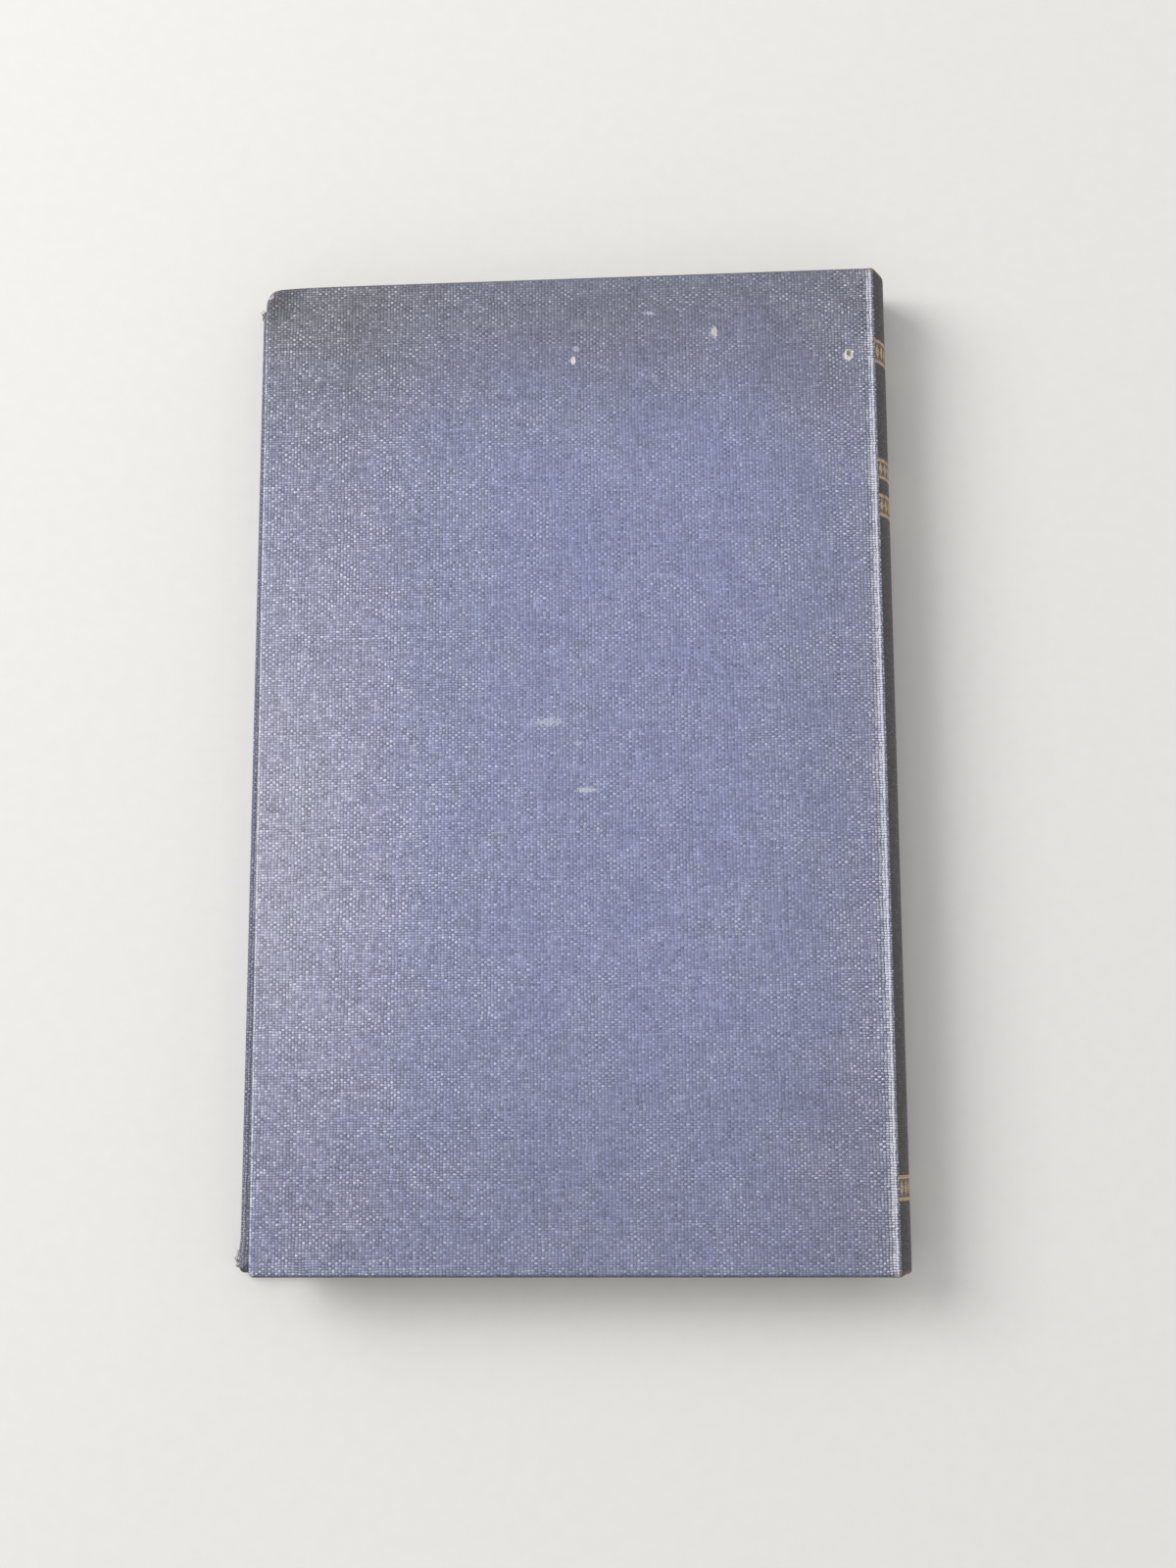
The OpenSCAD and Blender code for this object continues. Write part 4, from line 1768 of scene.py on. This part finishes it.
@dataclass
class Endpaper:
    """One endpaper: a free flyleaf, and the leaf pasted to the board with the fold between."""

    form: BookForm
    side: Side
    step_w: float = 1.2
    flat_columns: int = 28
    least_step: float = 0.6
    fold_top: float = 2.6
    bridge: float = 0.42
    fold_steps: int = 8
    foot_gap: float = 0.06
    sheet_share: float = 0.9
    curl: float = 0.025
    worn_corner: float = 2.5

    def stations(self, low: float, high: float, steps: Sequence[float]) -> np.ndarray:
        """Places from low to high, close together where the paper steps.

        Args:
            low, high: first and last place.
            steps: middles of the steps.

        Returns:
            The places in order.
        """
        fine = [s + self.step_w * d / 4 for s in steps for d in range(-4, 5)]
        coarse = np.linspace(low, high, self.flat_columns)
        kept = [c for c in coarse[1:-1] if all(abs(c - f) > self.least_step for f in fine)]
        inside = [f for f in fine if low < f < high]
        return np.array(sorted([low, high, *kept, *inside]))

    def pasted(self, material: Material) -> Thing:
        """Makes the pasted leaf, over the turn-ins and the mull, and its fold.

        Args:
            material: the paper's material.

        Returns:
            The leaf.
        """
        form, up = self.form, self.side.up
        low, high = box_mm(f"{self.side.value}_pastedown")
        turn_x = form.fore_x(self.side) + form.turn_in
        turn_y = form.half_h - form.turn_in
        mull_x = form.edge_x(self.side) - form.mull_flange
        board_in = form.cover_depth - form.cloth_t
        xs = self.stations(low[0], high[0], (turn_x, mull_x))
        ys = self.stations(-form.half_leaf, form.half_leaf, (-turn_y, turn_y))
        gx, gy = np.meshgrid(xs, ys)
        wide = self.step_w
        by_end = smooth(np.abs(gy), turn_y - wide, turn_y)
        turned = np.maximum(smooth(-gx, -turn_x - wide, -turn_x), by_end)
        mull = smooth(gx, mull_x - wide, mull_x)
        mull_end = box_mm(f"{self.side.value}_mull")[1][1]
        mull *= smooth(-np.abs(gy), -mull_end - wide, -mull_end)
        lift = np.maximum(turned * form.cloth_t, mull * form.mull_t)
        depth = board_in + lift + form.paper_t
        z = form.level(self.side, depth)
        edge = form.edge_x(self.side)
        foot_x = form.shoulder_x(self.side) - self.foot_gap
        foot_z = box_mm(f"{self.side.value}_flyleaf")[1 if up > 0 else 0][2]
        bend = edge + self.bridge
        top = np.array([(bend + foot_x) / 2, form.level(self.side, self.fold_top)])
        rows = []
        for i, y in enumerate(ys):
            start = np.array([edge, z[i, -1]])
            low_side = np.array([bend + 0.1, start[1]])
            first = bezier((start, low_side, top - [0.16, up * 0.4], top), self.fold_steps)
            foot = np.array([foot_x, foot_z])
            second = bezier((top, top + [0.12, 0], foot + [0.02, up * 0.5], foot), self.fold_steps)
            line = np.concatenate([first[1:], second[1:]])
            rows.append([(x, y, z_at) for x, z_at in line])
        flat_part = np.stack([gx, gy, z], axis=2)
        points = np.concatenate([flat_part, np.array(rows)], axis=1)
        faces = strips(len(ys), points.shape[1], flip=up > 0)
        piece = add_mesh(f"{self.side.value}_pasted_leaf", points.reshape(-1, 3), faces, material)
        thicken(piece, form.paper_t * self.sheet_share)
        start = Vector((foot_x - 0.03, 0, foot_z)) * MM
        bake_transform(piece)
        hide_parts(f"{self.side.value}_pastedown")
        return piece

    def free(self, material: Material) -> Thing:
        """Makes the flyleaf, which lies on the leaves with softly worn corners.

        Args:
            material: the paper's material.

        Returns:
            The leaf.
        """
        form, up = self.form, self.side.up
        low, high = box_mm(f"{self.side.value}_flyleaf")
        xs, ys = np.linspace(low[0], high[0], 40), np.linspace(low[1], high[1], 60)
        gx, gy = np.meshgrid(xs, ys)
        away = np.minimum(gx - low[0], form.half_leaf - np.abs(gy))
        outside = high[2] if up > 0 else low[2]
        curl = self.curl * (1 - smooth(away, 0, 6)) * np.sin(gx * 0.21 + gy * 0.13)
        z = outside + up * curl
        by_end = smooth(np.abs(gy), form.half_leaf - self.worn_corner, form.half_leaf)
        corner = (1 - smooth(gx - low[0], 0, self.worn_corner)) * by_end
        x, y = gx + 0.5 * corner, gy - np.sign(gy) * 0.5 * corner
        points = np.stack([x, y, z], axis=2).reshape(-1, 3)
        faces = strips(len(ys), len(xs), flip=up < 0)
        piece = add_mesh(f"{self.side.value}_free_leaf", points, faces, material)
        thicken(piece, form.paper_t * self.sheet_share)
        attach(piece, "book_block")
        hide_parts(f"{self.side.value}_flyleaf")
        return piece


class GeometryMaker:
    """Base of the pieces that a Geometry Nodes tree makes."""

    tree_name = ""

    def wire(self, t: Tree, o: dict[str, Value]) -> Value:
        """Makes the tree's nodes from its named inputs, and returns the geometry."""
        raise NotImplementedError

    def run(
        self, name: str, base: bpy.types.Mesh, material: Material, values: dict[str, object]
    ) -> Thing:
        """Runs the tree on a base mesh and returns the plain mesh object it makes.

        Args:
            name: name of the piece.
            base: mesh that the tree starts from, which may be empty.
            material: material that the tree sets.
            values: value of each of the tree's named inputs.

        Returns:
            A new object with no modifier.
        """
        tree = bpy.data.node_groups.get(self.tree_name) or self.make_tree(values)
        source = bpy.data.objects.new(name + "_source", base)
        bpy.context.collection.objects.link(source)
        modifier = source.modifiers.new("maker", "NODES")
        modifier.node_group = tree
        for item in tree.interface.items_tree:
            if item.in_out == "INPUT" and item.name in values:
                modifier[item.identifier] = values[item.name]
            elif item.in_out == "INPUT" and item.name == "Material":
                modifier[item.identifier] = material
        evaluated = source.evaluated_get(bpy.context.evaluated_depsgraph_get())
        mesh = bpy.data.meshes.new_from_object(evaluated)
        mesh.name = name
        bpy.data.objects.remove(source)
        piece = bpy.data.objects.new(name, mesh)
        bpy.context.collection.objects.link(piece)
        return piece

    def make_tree(self, values: dict[str, object]) -> NodeTree:
        """Makes the tree, ending in Realize Instances and Set Material.

        Args:
            values: value of each of its named inputs, which tells the input's kind.

        Returns:
            The tree.
        """
        tree = bpy.data.node_groups.new(self.tree_name, "GeometryNodeTree")
        takes = {"Geometry": "NodeSocketGeometry", "Material": "NodeSocketMaterial"}
        for name, value in values.items():
            number = INT if isinstance(value, int) else FLOAT
            takes[name] = VECTOR if isinstance(value, tuple) else number
        for name, kind in takes.items():
            tree.interface.new_socket(name, in_out="INPUT", socket_type=kind)
        tree.interface.new_socket("Geometry", in_out="OUTPUT", socket_type="NodeSocketGeometry")
        t = Tree(tree)
        o = {value.socket.name: value for value in t.outs(t.node("NodeGroupInput"))}
        real = t.shape("RealizeInstances", Geometry=self.wire(t, o))
        real = self.after(t, o, real)
        dressed = t.shape("SetMaterial", Geometry=real, Material=o["Material"])
        t.feed(t.node("NodeGroupOutput"), dressed)
        return tree

    def after(self, t: Tree, o: dict[str, Value], geometry: Value) -> Value:
        """Last shaping of the real geometry, none unless a piece needs it."""
        return geometry

    @staticmethod
    def store(t: Tree, geometry: Value, name: str, value: Value) -> Value:
        """Keeps a value for each point under a name."""
        made = t.node("GeometryNodeStoreNamedAttribute", data_type="FLOAT", domain="POINT")
        return t.out(t.fill(made, Geometry=geometry, Name=name, Value=value))

    @staticmethod
    def random(t: Tree, low: object, high: object, seed: Value) -> Value:
        """A random value for each point, from low to high.

        Args:
            t: the tree.
            low, high: ends of the range.
            seed: start of the random draws.

        Returns:
            The value.
        """
        made = t.fill(t.node("FunctionNodeRandomValue", data_type="FLOAT"), Seed=seed)
        t.put(made.inputs[2], low)
        t.put(made.inputs[3], high)
        return t.out(made, 1)

    @staticmethod
    def named(t: Tree, name: str) -> Value:
        """The value kept under a name."""
        made = t.node("GeometryNodeInputNamedAttribute", data_type="FLOAT")
        return t.out(t.fill(made, Name=name))


@dataclass
class LeafBlock(GeometryMaker):
    """The leaves, each a thin sheet that bends at the shoulder and fans into the rounded back."""

    form: BookForm
    count: int = 82
    fill: float = 0.86
    spread: float = 0.05
    shoulder_gap: float = 0.1
    seed: int = 7

    tree_name = "leaf_block"

    def wire(self, t: Tree, o: dict[str, Value]) -> Value:
        """Makes one flat unit leaf for each point of an upright line.

        Args:
            t: the tree.
            o: its named inputs.

        Returns:
            The instances of the leaf.
        """
        start, offset = (0, 0, 0.5), (0, 0, 1)
        line = t.shape("MeshLine", Count=o["Leaves"], Start_Location=start, Offset=offset)
        spread, seed = o["Trim spread"], o["Seed"]
        less = spread * -1.0
        points = self.store(t, line, "trim_x", self.random(t, less, spread, seed))
        points = self.store(t, points, "trim_y", self.random(t, less, spread, seed + 11.0))
        points = self.store(t, points, "leaf_tone", self.random(t, 0.0, 1.0, seed + 23.0))
        size = t.join(1.0, 1.0, o["Fill"])
        leaf = t.shape("MeshCube", Size=size, Vertices_X=17, Vertices_Y=2, Vertices_Z=2)
        return t.shape("InstanceOnPoints", Points=points, Instance=leaf)

    def after(self, t: Tree, o: dict[str, Value], geometry: Value) -> Value:
        """Bends every leaf: flat to the shoulder, then curved out to the round back.

        Args:
            t: the tree.
            o: its named inputs.
            geometry: the flat leaves, one above the other.

        Returns:
            The bent leaves.
        """
        x, y, z = t.split(t.shape("InputPosition"))
        share = z / o["Leaves"]

        def between(low: Value, high: Value) -> Value:
            """Value at this leaf's share of the way from low to high."""
            return (high - low) * share + low

        level = between(o["Bottom"], o["Top"])
        shoulder = between(o["Front shoulder"], o["Rear shoulder"])
        angle = between(o["Front angle"], o["Rear angle"])
        back_x = t.math("COSINE", angle) * o["Back radius"] + o["Back X"]
        back_z = t.math("SINE", angle) * o["Back radius"] + o["Back Z"]
        drop = level - o["Back Z"]
        reach = t.math("SQRT", o["Back radius"] * o["Back radius"] - drop * drop)
        fore = o["Back X"] + reach - o["Page width"]
        along = x + 0.5
        straight = t.math("MULTIPLY", along, 2.0, clamp=True)
        bend = t.math("MULTIPLY_ADD", along, 2.0, -1.0, clamp=True)
        knee = (back_x - shoulder) * 0.75 + shoulder
        rest = 1.0 - bend
        start_w, knee_w, end_w = rest * rest, rest * bend * 2.0, bend * bend

        def curved(start: Value, middle: Value, end: Value) -> Value:
            """Point of the leaf's bend on a curve with one control point."""
            return end * end_w + (start * start_w + middle * knee_w)

        bent_x = curved(shoulder, knee, back_x)
        bent_z = curved(level, level, back_z)
        flat_x = (shoulder - fore) * straight + fore
        flat_x = flat_x + self.named(t, "trim_x") * (1.0 - straight)
        moved_y = y * 2.0 * o["Half height"] + self.named(t, "trim_y")
        place = t.join(flat_x + bent_x - shoulder, moved_y, bent_z)
        return t.shape("SetPosition", Geometry=geometry, Position=place)

    def build(self, material: Material) -> Thing:
        """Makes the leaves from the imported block's sizes.

        Args:
            material: the leaves' material.

        Returns:
            The leaves as one piece.
        """
        form = self.form
        top, bottom = box_mm("rear_flyleaf")[0][2], box_mm("front_flyleaf")[1][2]
        leaf_low = box_mm("rear_flyleaf")[0][0]
        back = form.back_c[0] + math.sqrt(form.back_r**2 - (top - form.back_c[1]) ** 2)
        values = {
            "Leaves": self.count,
            "Fill": self.fill,
            "Half height": (form.half_leaf - self.spread) * MM,
            "Bottom": bottom * MM,
            "Top": top * MM,
            "Front shoulder": (form.shoulder_x(Side.FRONT) - self.shoulder_gap) * MM,
            "Rear shoulder": (form.shoulder_x(Side.REAR) - self.shoulder_gap) * MM,
            "Back X": form.back_c[0] * MM,
            "Back Z": form.back_c[1] * MM,
            "Back radius": form.back_r * MM,
            "Front angle": math.radians(form.back_angle(Side.FRONT)),
            "Rear angle": math.radians(form.back_angle(Side.REAR)),
            "Page width": (back - leaf_low - self.spread) * MM,
            "Trim spread": self.spread * MM,
            "Seed": self.seed,
        }
        piece = self.run("leaves", bpy.data.meshes.new("no_leaves"), material, values)
        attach(piece, "book_block")
        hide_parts("text_block")
        return piece


@dataclass
class SewnBand(GeometryMaker):
    """Head or tail band: a cord wound with thread in two colours."""

    form: BookForm
    end: End
    cord_r: float = 0.75
    thread_r: float = 0.17
    trim: float = 2.0
    pitch: float = 0.29

    tree_name = "sewn_band"

    def wire(self, t: Tree, o: dict[str, Value]) -> Value:
        """Puts one loop of thread at each step of the arc.

        Args:
            t: the tree.
            o: its named inputs.

        Returns:
            The instances of the loop.
        """
        index = t.shape("InputIndex")
        sweep = o["End angle"] - o["Start angle"]
        angle = sweep * (index / (o["Turns"] - 1.0)) + o["Start angle"]
        x, z = (t.math(kind, angle) * o["Bend radius"] for kind in ("COSINE", "SINE"))
        place = t.vector("ADD", t.join(x, 0.0, z), o["Centre"])
        line = t.shape("MeshLine", Count=o["Turns"])
        points = t.shape("SetPosition", Geometry=line, Position=place)
        stripe = t.math("LESS_THAN", t.math("FLOORED_MODULO", index, 4.0), 2.0)
        points = self.store(t, points, "second_colour", stripe)
        radius = o["Cord radius"] - o["Thread radius"]
        loop = t.shape("CurvePrimitiveCircle", Resolution=14, Radius=radius)
        thread = t.shape("CurvePrimitiveCircle", Resolution=6, Radius=o["Thread radius"])
        solid = t.shape("CurveToMesh", Curve=loop, Profile_Curve=thread)
        turn = t.join(0.12, angle * -1.0, 0.0)
        return t.shape("InstanceOnPoints", Points=points, Instance=solid, Rotation=turn)

    def build(self, material: Material) -> Thing:
        """Makes the band where its packed bead is.

        Args:
            material: the thread's material.

        Returns:
            The band.
        """
        form = self.form
        trim = math.degrees(self.trim / form.back_r)
        start, end = form.back_angle(Side.FRONT) + trim, form.back_angle(Side.REAR) - trim
        bend = form.back_r - self.cord_r
        turns = int(math.radians(end - start) * bend / self.pitch)
        centre = (form.back_c[0], self.end.out * (form.half_leaf + self.cord_r), form.back_c[1])
        values = {
            "Turns": turns,
            "Start angle": math.radians(start),
            "End angle": math.radians(end),
            "Bend radius": bend * MM,
            "Centre": tuple(c * MM for c in centre),
            "Cord radius": self.cord_r * MM,
            "Thread radius": self.thread_r * MM,
        }
        name = f"{self.end.value}_band_thread"
        piece = self.run(name, bpy.data.meshes.new("no_band"), material, values)
        piece.data.shade_smooth()
        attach(piece, "book_block")
        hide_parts(f"{self.end.value}_band")
        return piece


@dataclass
class FrayedThreads(GeometryMaker):
    """Loose looped threads where a corner of the front cover is worn through."""

    form: BookForm
    end: End
    spread: tuple[float, float] = (1.8, 4.0)
    reach: float = 1.25
    inset: float = 0.8
    threads: int = 60
    length: float = 0.95
    thread_r: float = 0.07
    lowest: float = 0.35
    bulge_w: float = 1.5
    seed: int = 3

    tree_name = "frayed_threads"

    def wire(self, t: Tree, o: dict[str, Value]) -> Value:
        """Scatters bent threads at random turns over the base patch.

        Args:
            t: the tree.
            o: its named inputs.

        Returns:
            The instances of the bent thread.
        """
        patch = t.node("GeometryNodeSampleIndex", data_type="FLOAT_VECTOR", domain="POINT")
        at, index = t.shape("InputPosition"), t.shape("InputIndex")
        t.fill(patch, Geometry=o["Geometry"], Value=at, Index=index)
        line = t.shape("MeshLine", Count=o["Threads"])
        points = t.shape("SetPosition", Geometry=line, Position=t.out(patch))
        long, seed = o["Length"], o["Seed"]
        middle, end = t.join(long, long * 0.5), t.join(long * 0.35, long * -0.6)
        bow = t.shape(
            "CurveQuadraticBezier", Resolution=6, Start=(0, 0, 0), Middle=middle, End=end
        )
        yarn = t.shape("CurvePrimitiveCircle", Resolution=5, Radius=o["Thread radius"])
        solid = t.shape("CurveToMesh", Curve=bow, Profile_Curve=yarn, Fill_Caps=True)
        roll = self.random(t, -1.5, 1.5, seed)
        pitch = self.random(t, -1.1, 1.1, seed + 5.0)
        turn = t.join(roll, pitch, self.random(t, 2.0, 4.4, seed + 9.0))
        size = self.random(t, 0.35, 1.0, seed + 15.0)
        many = t.node("GeometryNodeInstanceOnPoints")
        t.fill(many, Points=points, Instance=solid, Rotation=turn)
        return t.out(t.fill(many, Scale=t.join(size, size, size)))

    def build(self, material: Material) -> Thing:
        """Makes the threads at the fore corner of the front cover.

        Args:
            material: the threads' material.

        Returns:
            The threads as one piece.
        """
        form = self.form
        generator = np.random.default_rng(self.seed)
        fore = form.fore_x(Side.FRONT) + self.end.out * form.skew(Side.FRONT) / 2
        spots = generator.random((self.threads, 3))
        bulge = np.exp(-((self.spread[1] * (spots[:, 1] - 0.5) / self.bulge_w) ** 2))
        x = fore + 0.35 - self.reach * spots[:, 0] * (0.3 + 0.7 * bulge)
        y = self.end.out * (form.half_h - self.inset - self.spread[1] * spots[:, 1])
        z = self.lowest + self.spread[0] * spots[:, 2]
        base = bpy.data.meshes.new(f"{self.end.value}_patch")
        base.from_pydata((np.stack([x, y, z], axis=1) * MM).tolist(), [], [])
        values = {
            "Threads": self.threads,
            "Length": self.length * MM,
            "Thread radius": self.thread_r * MM,
            "Seed": self.seed,
        }
        piece = self.run(f"frayed_{self.end.value}_corner", base, material, values)
        piece.data.shade_smooth()
        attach(piece, Side.FRONT.body)
        return piece


@dataclass
class InnerParts:
    """Boards, mull, lining and card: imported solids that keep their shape."""

    board: PressedFinish = PressedFinish(
        "grey_board", srgb(170, 160, 146), srgb(132, 124, 112), srgb(88, 80, 72)
    )
    card: PressedFinish = PressedFinish(
        "inlay_card", srgb(206, 192, 164), srgb(184, 168, 138), srgb(130, 112, 84), 1400.0
    )
    kraft: PressedFinish = PressedFinish(
        "kraft_lining", srgb(186, 148, 104), srgb(160, 122, 82), srgb(112, 82, 52), 1800.0
    )
    mull: MullFinish = MullFinish("cotton_mull")

    def dress(self) -> None:
        """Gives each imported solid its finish."""
        plan = {
            self.board: ("front_board", "rear_board"),
            self.card: ("spine_inlay",),
            self.kraft: ("spine_lining",),
            self.mull: ("spine_mull", "front_mull", "rear_mull"),
        }
        for finish, nodes in plan.items():
            material = finish.material()
            for node in nodes:
                mesh = frame["nodes"][node].data
                mesh.materials.clear()
                mesh.materials.append(material)
                log.info("dressed %s", node)


@dataclass
class Studio:
    """Plain pale floor and soft light."""

    floor_half: float = 3.0
    floor_drop: float = 0.1
    floor_colour: Colour = (0.80, 0.79, 0.77)
    background: Colour = (0.82, 0.82, 0.80)
    fade_from: float = 0.25
    fade_to: float = 0.7
    world_level: float = 0.62
    key_power: float = 17.0
    key_size: float = 0.9
    key_place: tuple[float, float, float] = (-1.05, 0.55, 0.95)

    def build(self) -> None:
        """Makes the floor, the world and the lamp."""
        self.floor()
        self.world()
        self.key()

    def floor(self) -> None:
        """A pale floor with the book's shadow, which fades into the background far away.

        Only what looks down on it meets the floor, so the book's underside is lit too.
        """
        half = self.floor_half
        mesh = bpy.data.meshes.new("floor")
        z = -self.floor_drop * MM
        corners = [(-half, -half, z), (half, -half, z), (half, half, z), (-half, half, z)]
        mesh.from_pydata(corners, [], [(0, 1, 2, 3)])
        material = bpy.data.materials.new("floor_paper")
        material.use_nodes = True
        t = Tree(material.node_tree)
        shader = material.node_tree.nodes["Principled BSDF"]
        place = t.place()
        tint = t.ramp(t.noise(place, 300.0, 3.0), 0.3, 0.7, 0.985, 1.0)
        paper = t.tinted(self.floor_colour, tint)
        t.fill(shader, Base_Color=paper, Roughness=0.9, Specular_IOR_Level=0.1)
        far = t.fill(t.node("ShaderNodeEmission"), Color=self.background)
        away = t.ramp(t.vector("LENGTH", place), self.fade_from, self.fade_to)
        faded = t.mixed(away, t.out(shader), t.out(far))
        front = 1.0 - t.out(t.node("ShaderNodeNewGeometry"), "Backfacing")
        clear = t.out(t.node("ShaderNodeBsdfTransparent"))
        surface = t.mixed(t.seen() * front, clear, faded)
        t.put(material.node_tree.nodes["Material Output"].inputs[0], surface)
        mesh.materials.append(material)
        plane = bpy.data.objects.new("floor", mesh)
        bpy.context.collection.objects.link(plane)

    def world(self) -> None:
        """Even light from all round, and a pale background."""
        world = bpy.data.worlds.new("studio")
        bpy.context.scene.world = world
        world.use_nodes = True
        t = Tree(world.node_tree)
        light = world.node_tree.nodes["Background"]
        t.feed(light, (1, 1, 1), self.world_level)
        back = t.feed(t.node("ShaderNodeBackground"), self.background)
        light = t.mixed(t.seen(), t.out(light), t.out(back))
        t.put(world.node_tree.nodes["World Output"].inputs[0], light)

    def key(self) -> None:
        """A large soft lamp from the upper left of the photograph."""
        data = bpy.data.lights.new("key", "AREA")
        data.shape, data.size, data.energy = "SQUARE", self.key_size, self.key_power
        lamp = bpy.data.objects.new("key", data)
        lamp.location = self.key_place
        aim = Vector((0, 0, 0)) - Vector(self.key_place)
        lamp.rotation_euler = aim.to_track_quat("-Z", "Y").to_euler()
        bpy.context.collection.objects.link(lamp)


def cover_the_book(form: BookForm) -> None:
    """Makes the covering cloth in its three stretches, on one flat cloth.

    Args:
        form: the book's form.
    """
    rear = CoverCloth(form, "rear_cover_cloth", side=Side.REAR, head_corner_r=3.2)
    spine = SpineCloth(form, "spine_covering")
    front = CoverCloth(form, "front_cover_cloth", side=Side.FRONT, flat_sign=-1.0)
    front.seam_angle, front.blend_past = spine.front_angle, 0.45
    rear.seam_angle = spine.rear_angle
    spine.offset = float(rear.distances()[-1])
    front.offset = spine.offset + spine.length() + float(front.distances()[-1])
    plan = ClothPlan(rear.ridge_distance(), front.offset - front.ridge_distance(), front.offset)
    covers = ClothFinish("cover_cloth", form, plan).material()
    back = ClothFinish("spine_cloth", form, plan).material()
    for stretch, material in ((rear, covers), (spine, back), (front, covers)):
        stretch.build(material)
        stretch.attach()
    log.info("covering cloth: %.1f mm across from fore edge to fore edge", plan.total)


def main() -> None:
    """Builds the book's pieces in order, then the studio and the camera."""
    logging.basicConfig(level=logging.INFO, format="%(name)s: %(message)s")
    form = BookForm()
    PhotoView().make()
    cover_the_book(form)
    paper = PaperFinish("endpaper").material()
    for side in Side:
        leaves = Endpaper(form, side)
        for piece in (leaves.pasted(paper), leaves.free(paper)):
            log.info("made %s", piece.name)
    block = LeafBlock(form).build(LeafEdgeFinish("leaf_edges").material())
    log.info("made %s with %d faces", block.name, len(block.data.polygons))
    thread = ThreadFinish("band_thread").material()
    for end in End:
        log.info("made %s", SewnBand(form, end).build(thread).name)
    grey = ThreadFinish("loose_threads", srgb(96, 96, 108), srgb(146, 144, 154)).material()
    brown = ThreadFinish("browned_threads", srgb(66, 58, 54), srgb(108, 98, 92)).material()
    log.info("made %s", FrayedThreads(form, End.TAIL).build(grey).name)
    head_tuft = FrayedThreads(
        form, End.HEAD, spread=(1.6, 1.7), reach=0.6, inset=0.1, threads=34, length=1.0
    )
    log.info("made %s", head_tuft.build(brown).name)
    InnerParts().dress()
    Studio().build()
    bpy.context.scene.view_settings.view_transform = "Standard"


if __name__ == "__main__":
    main()
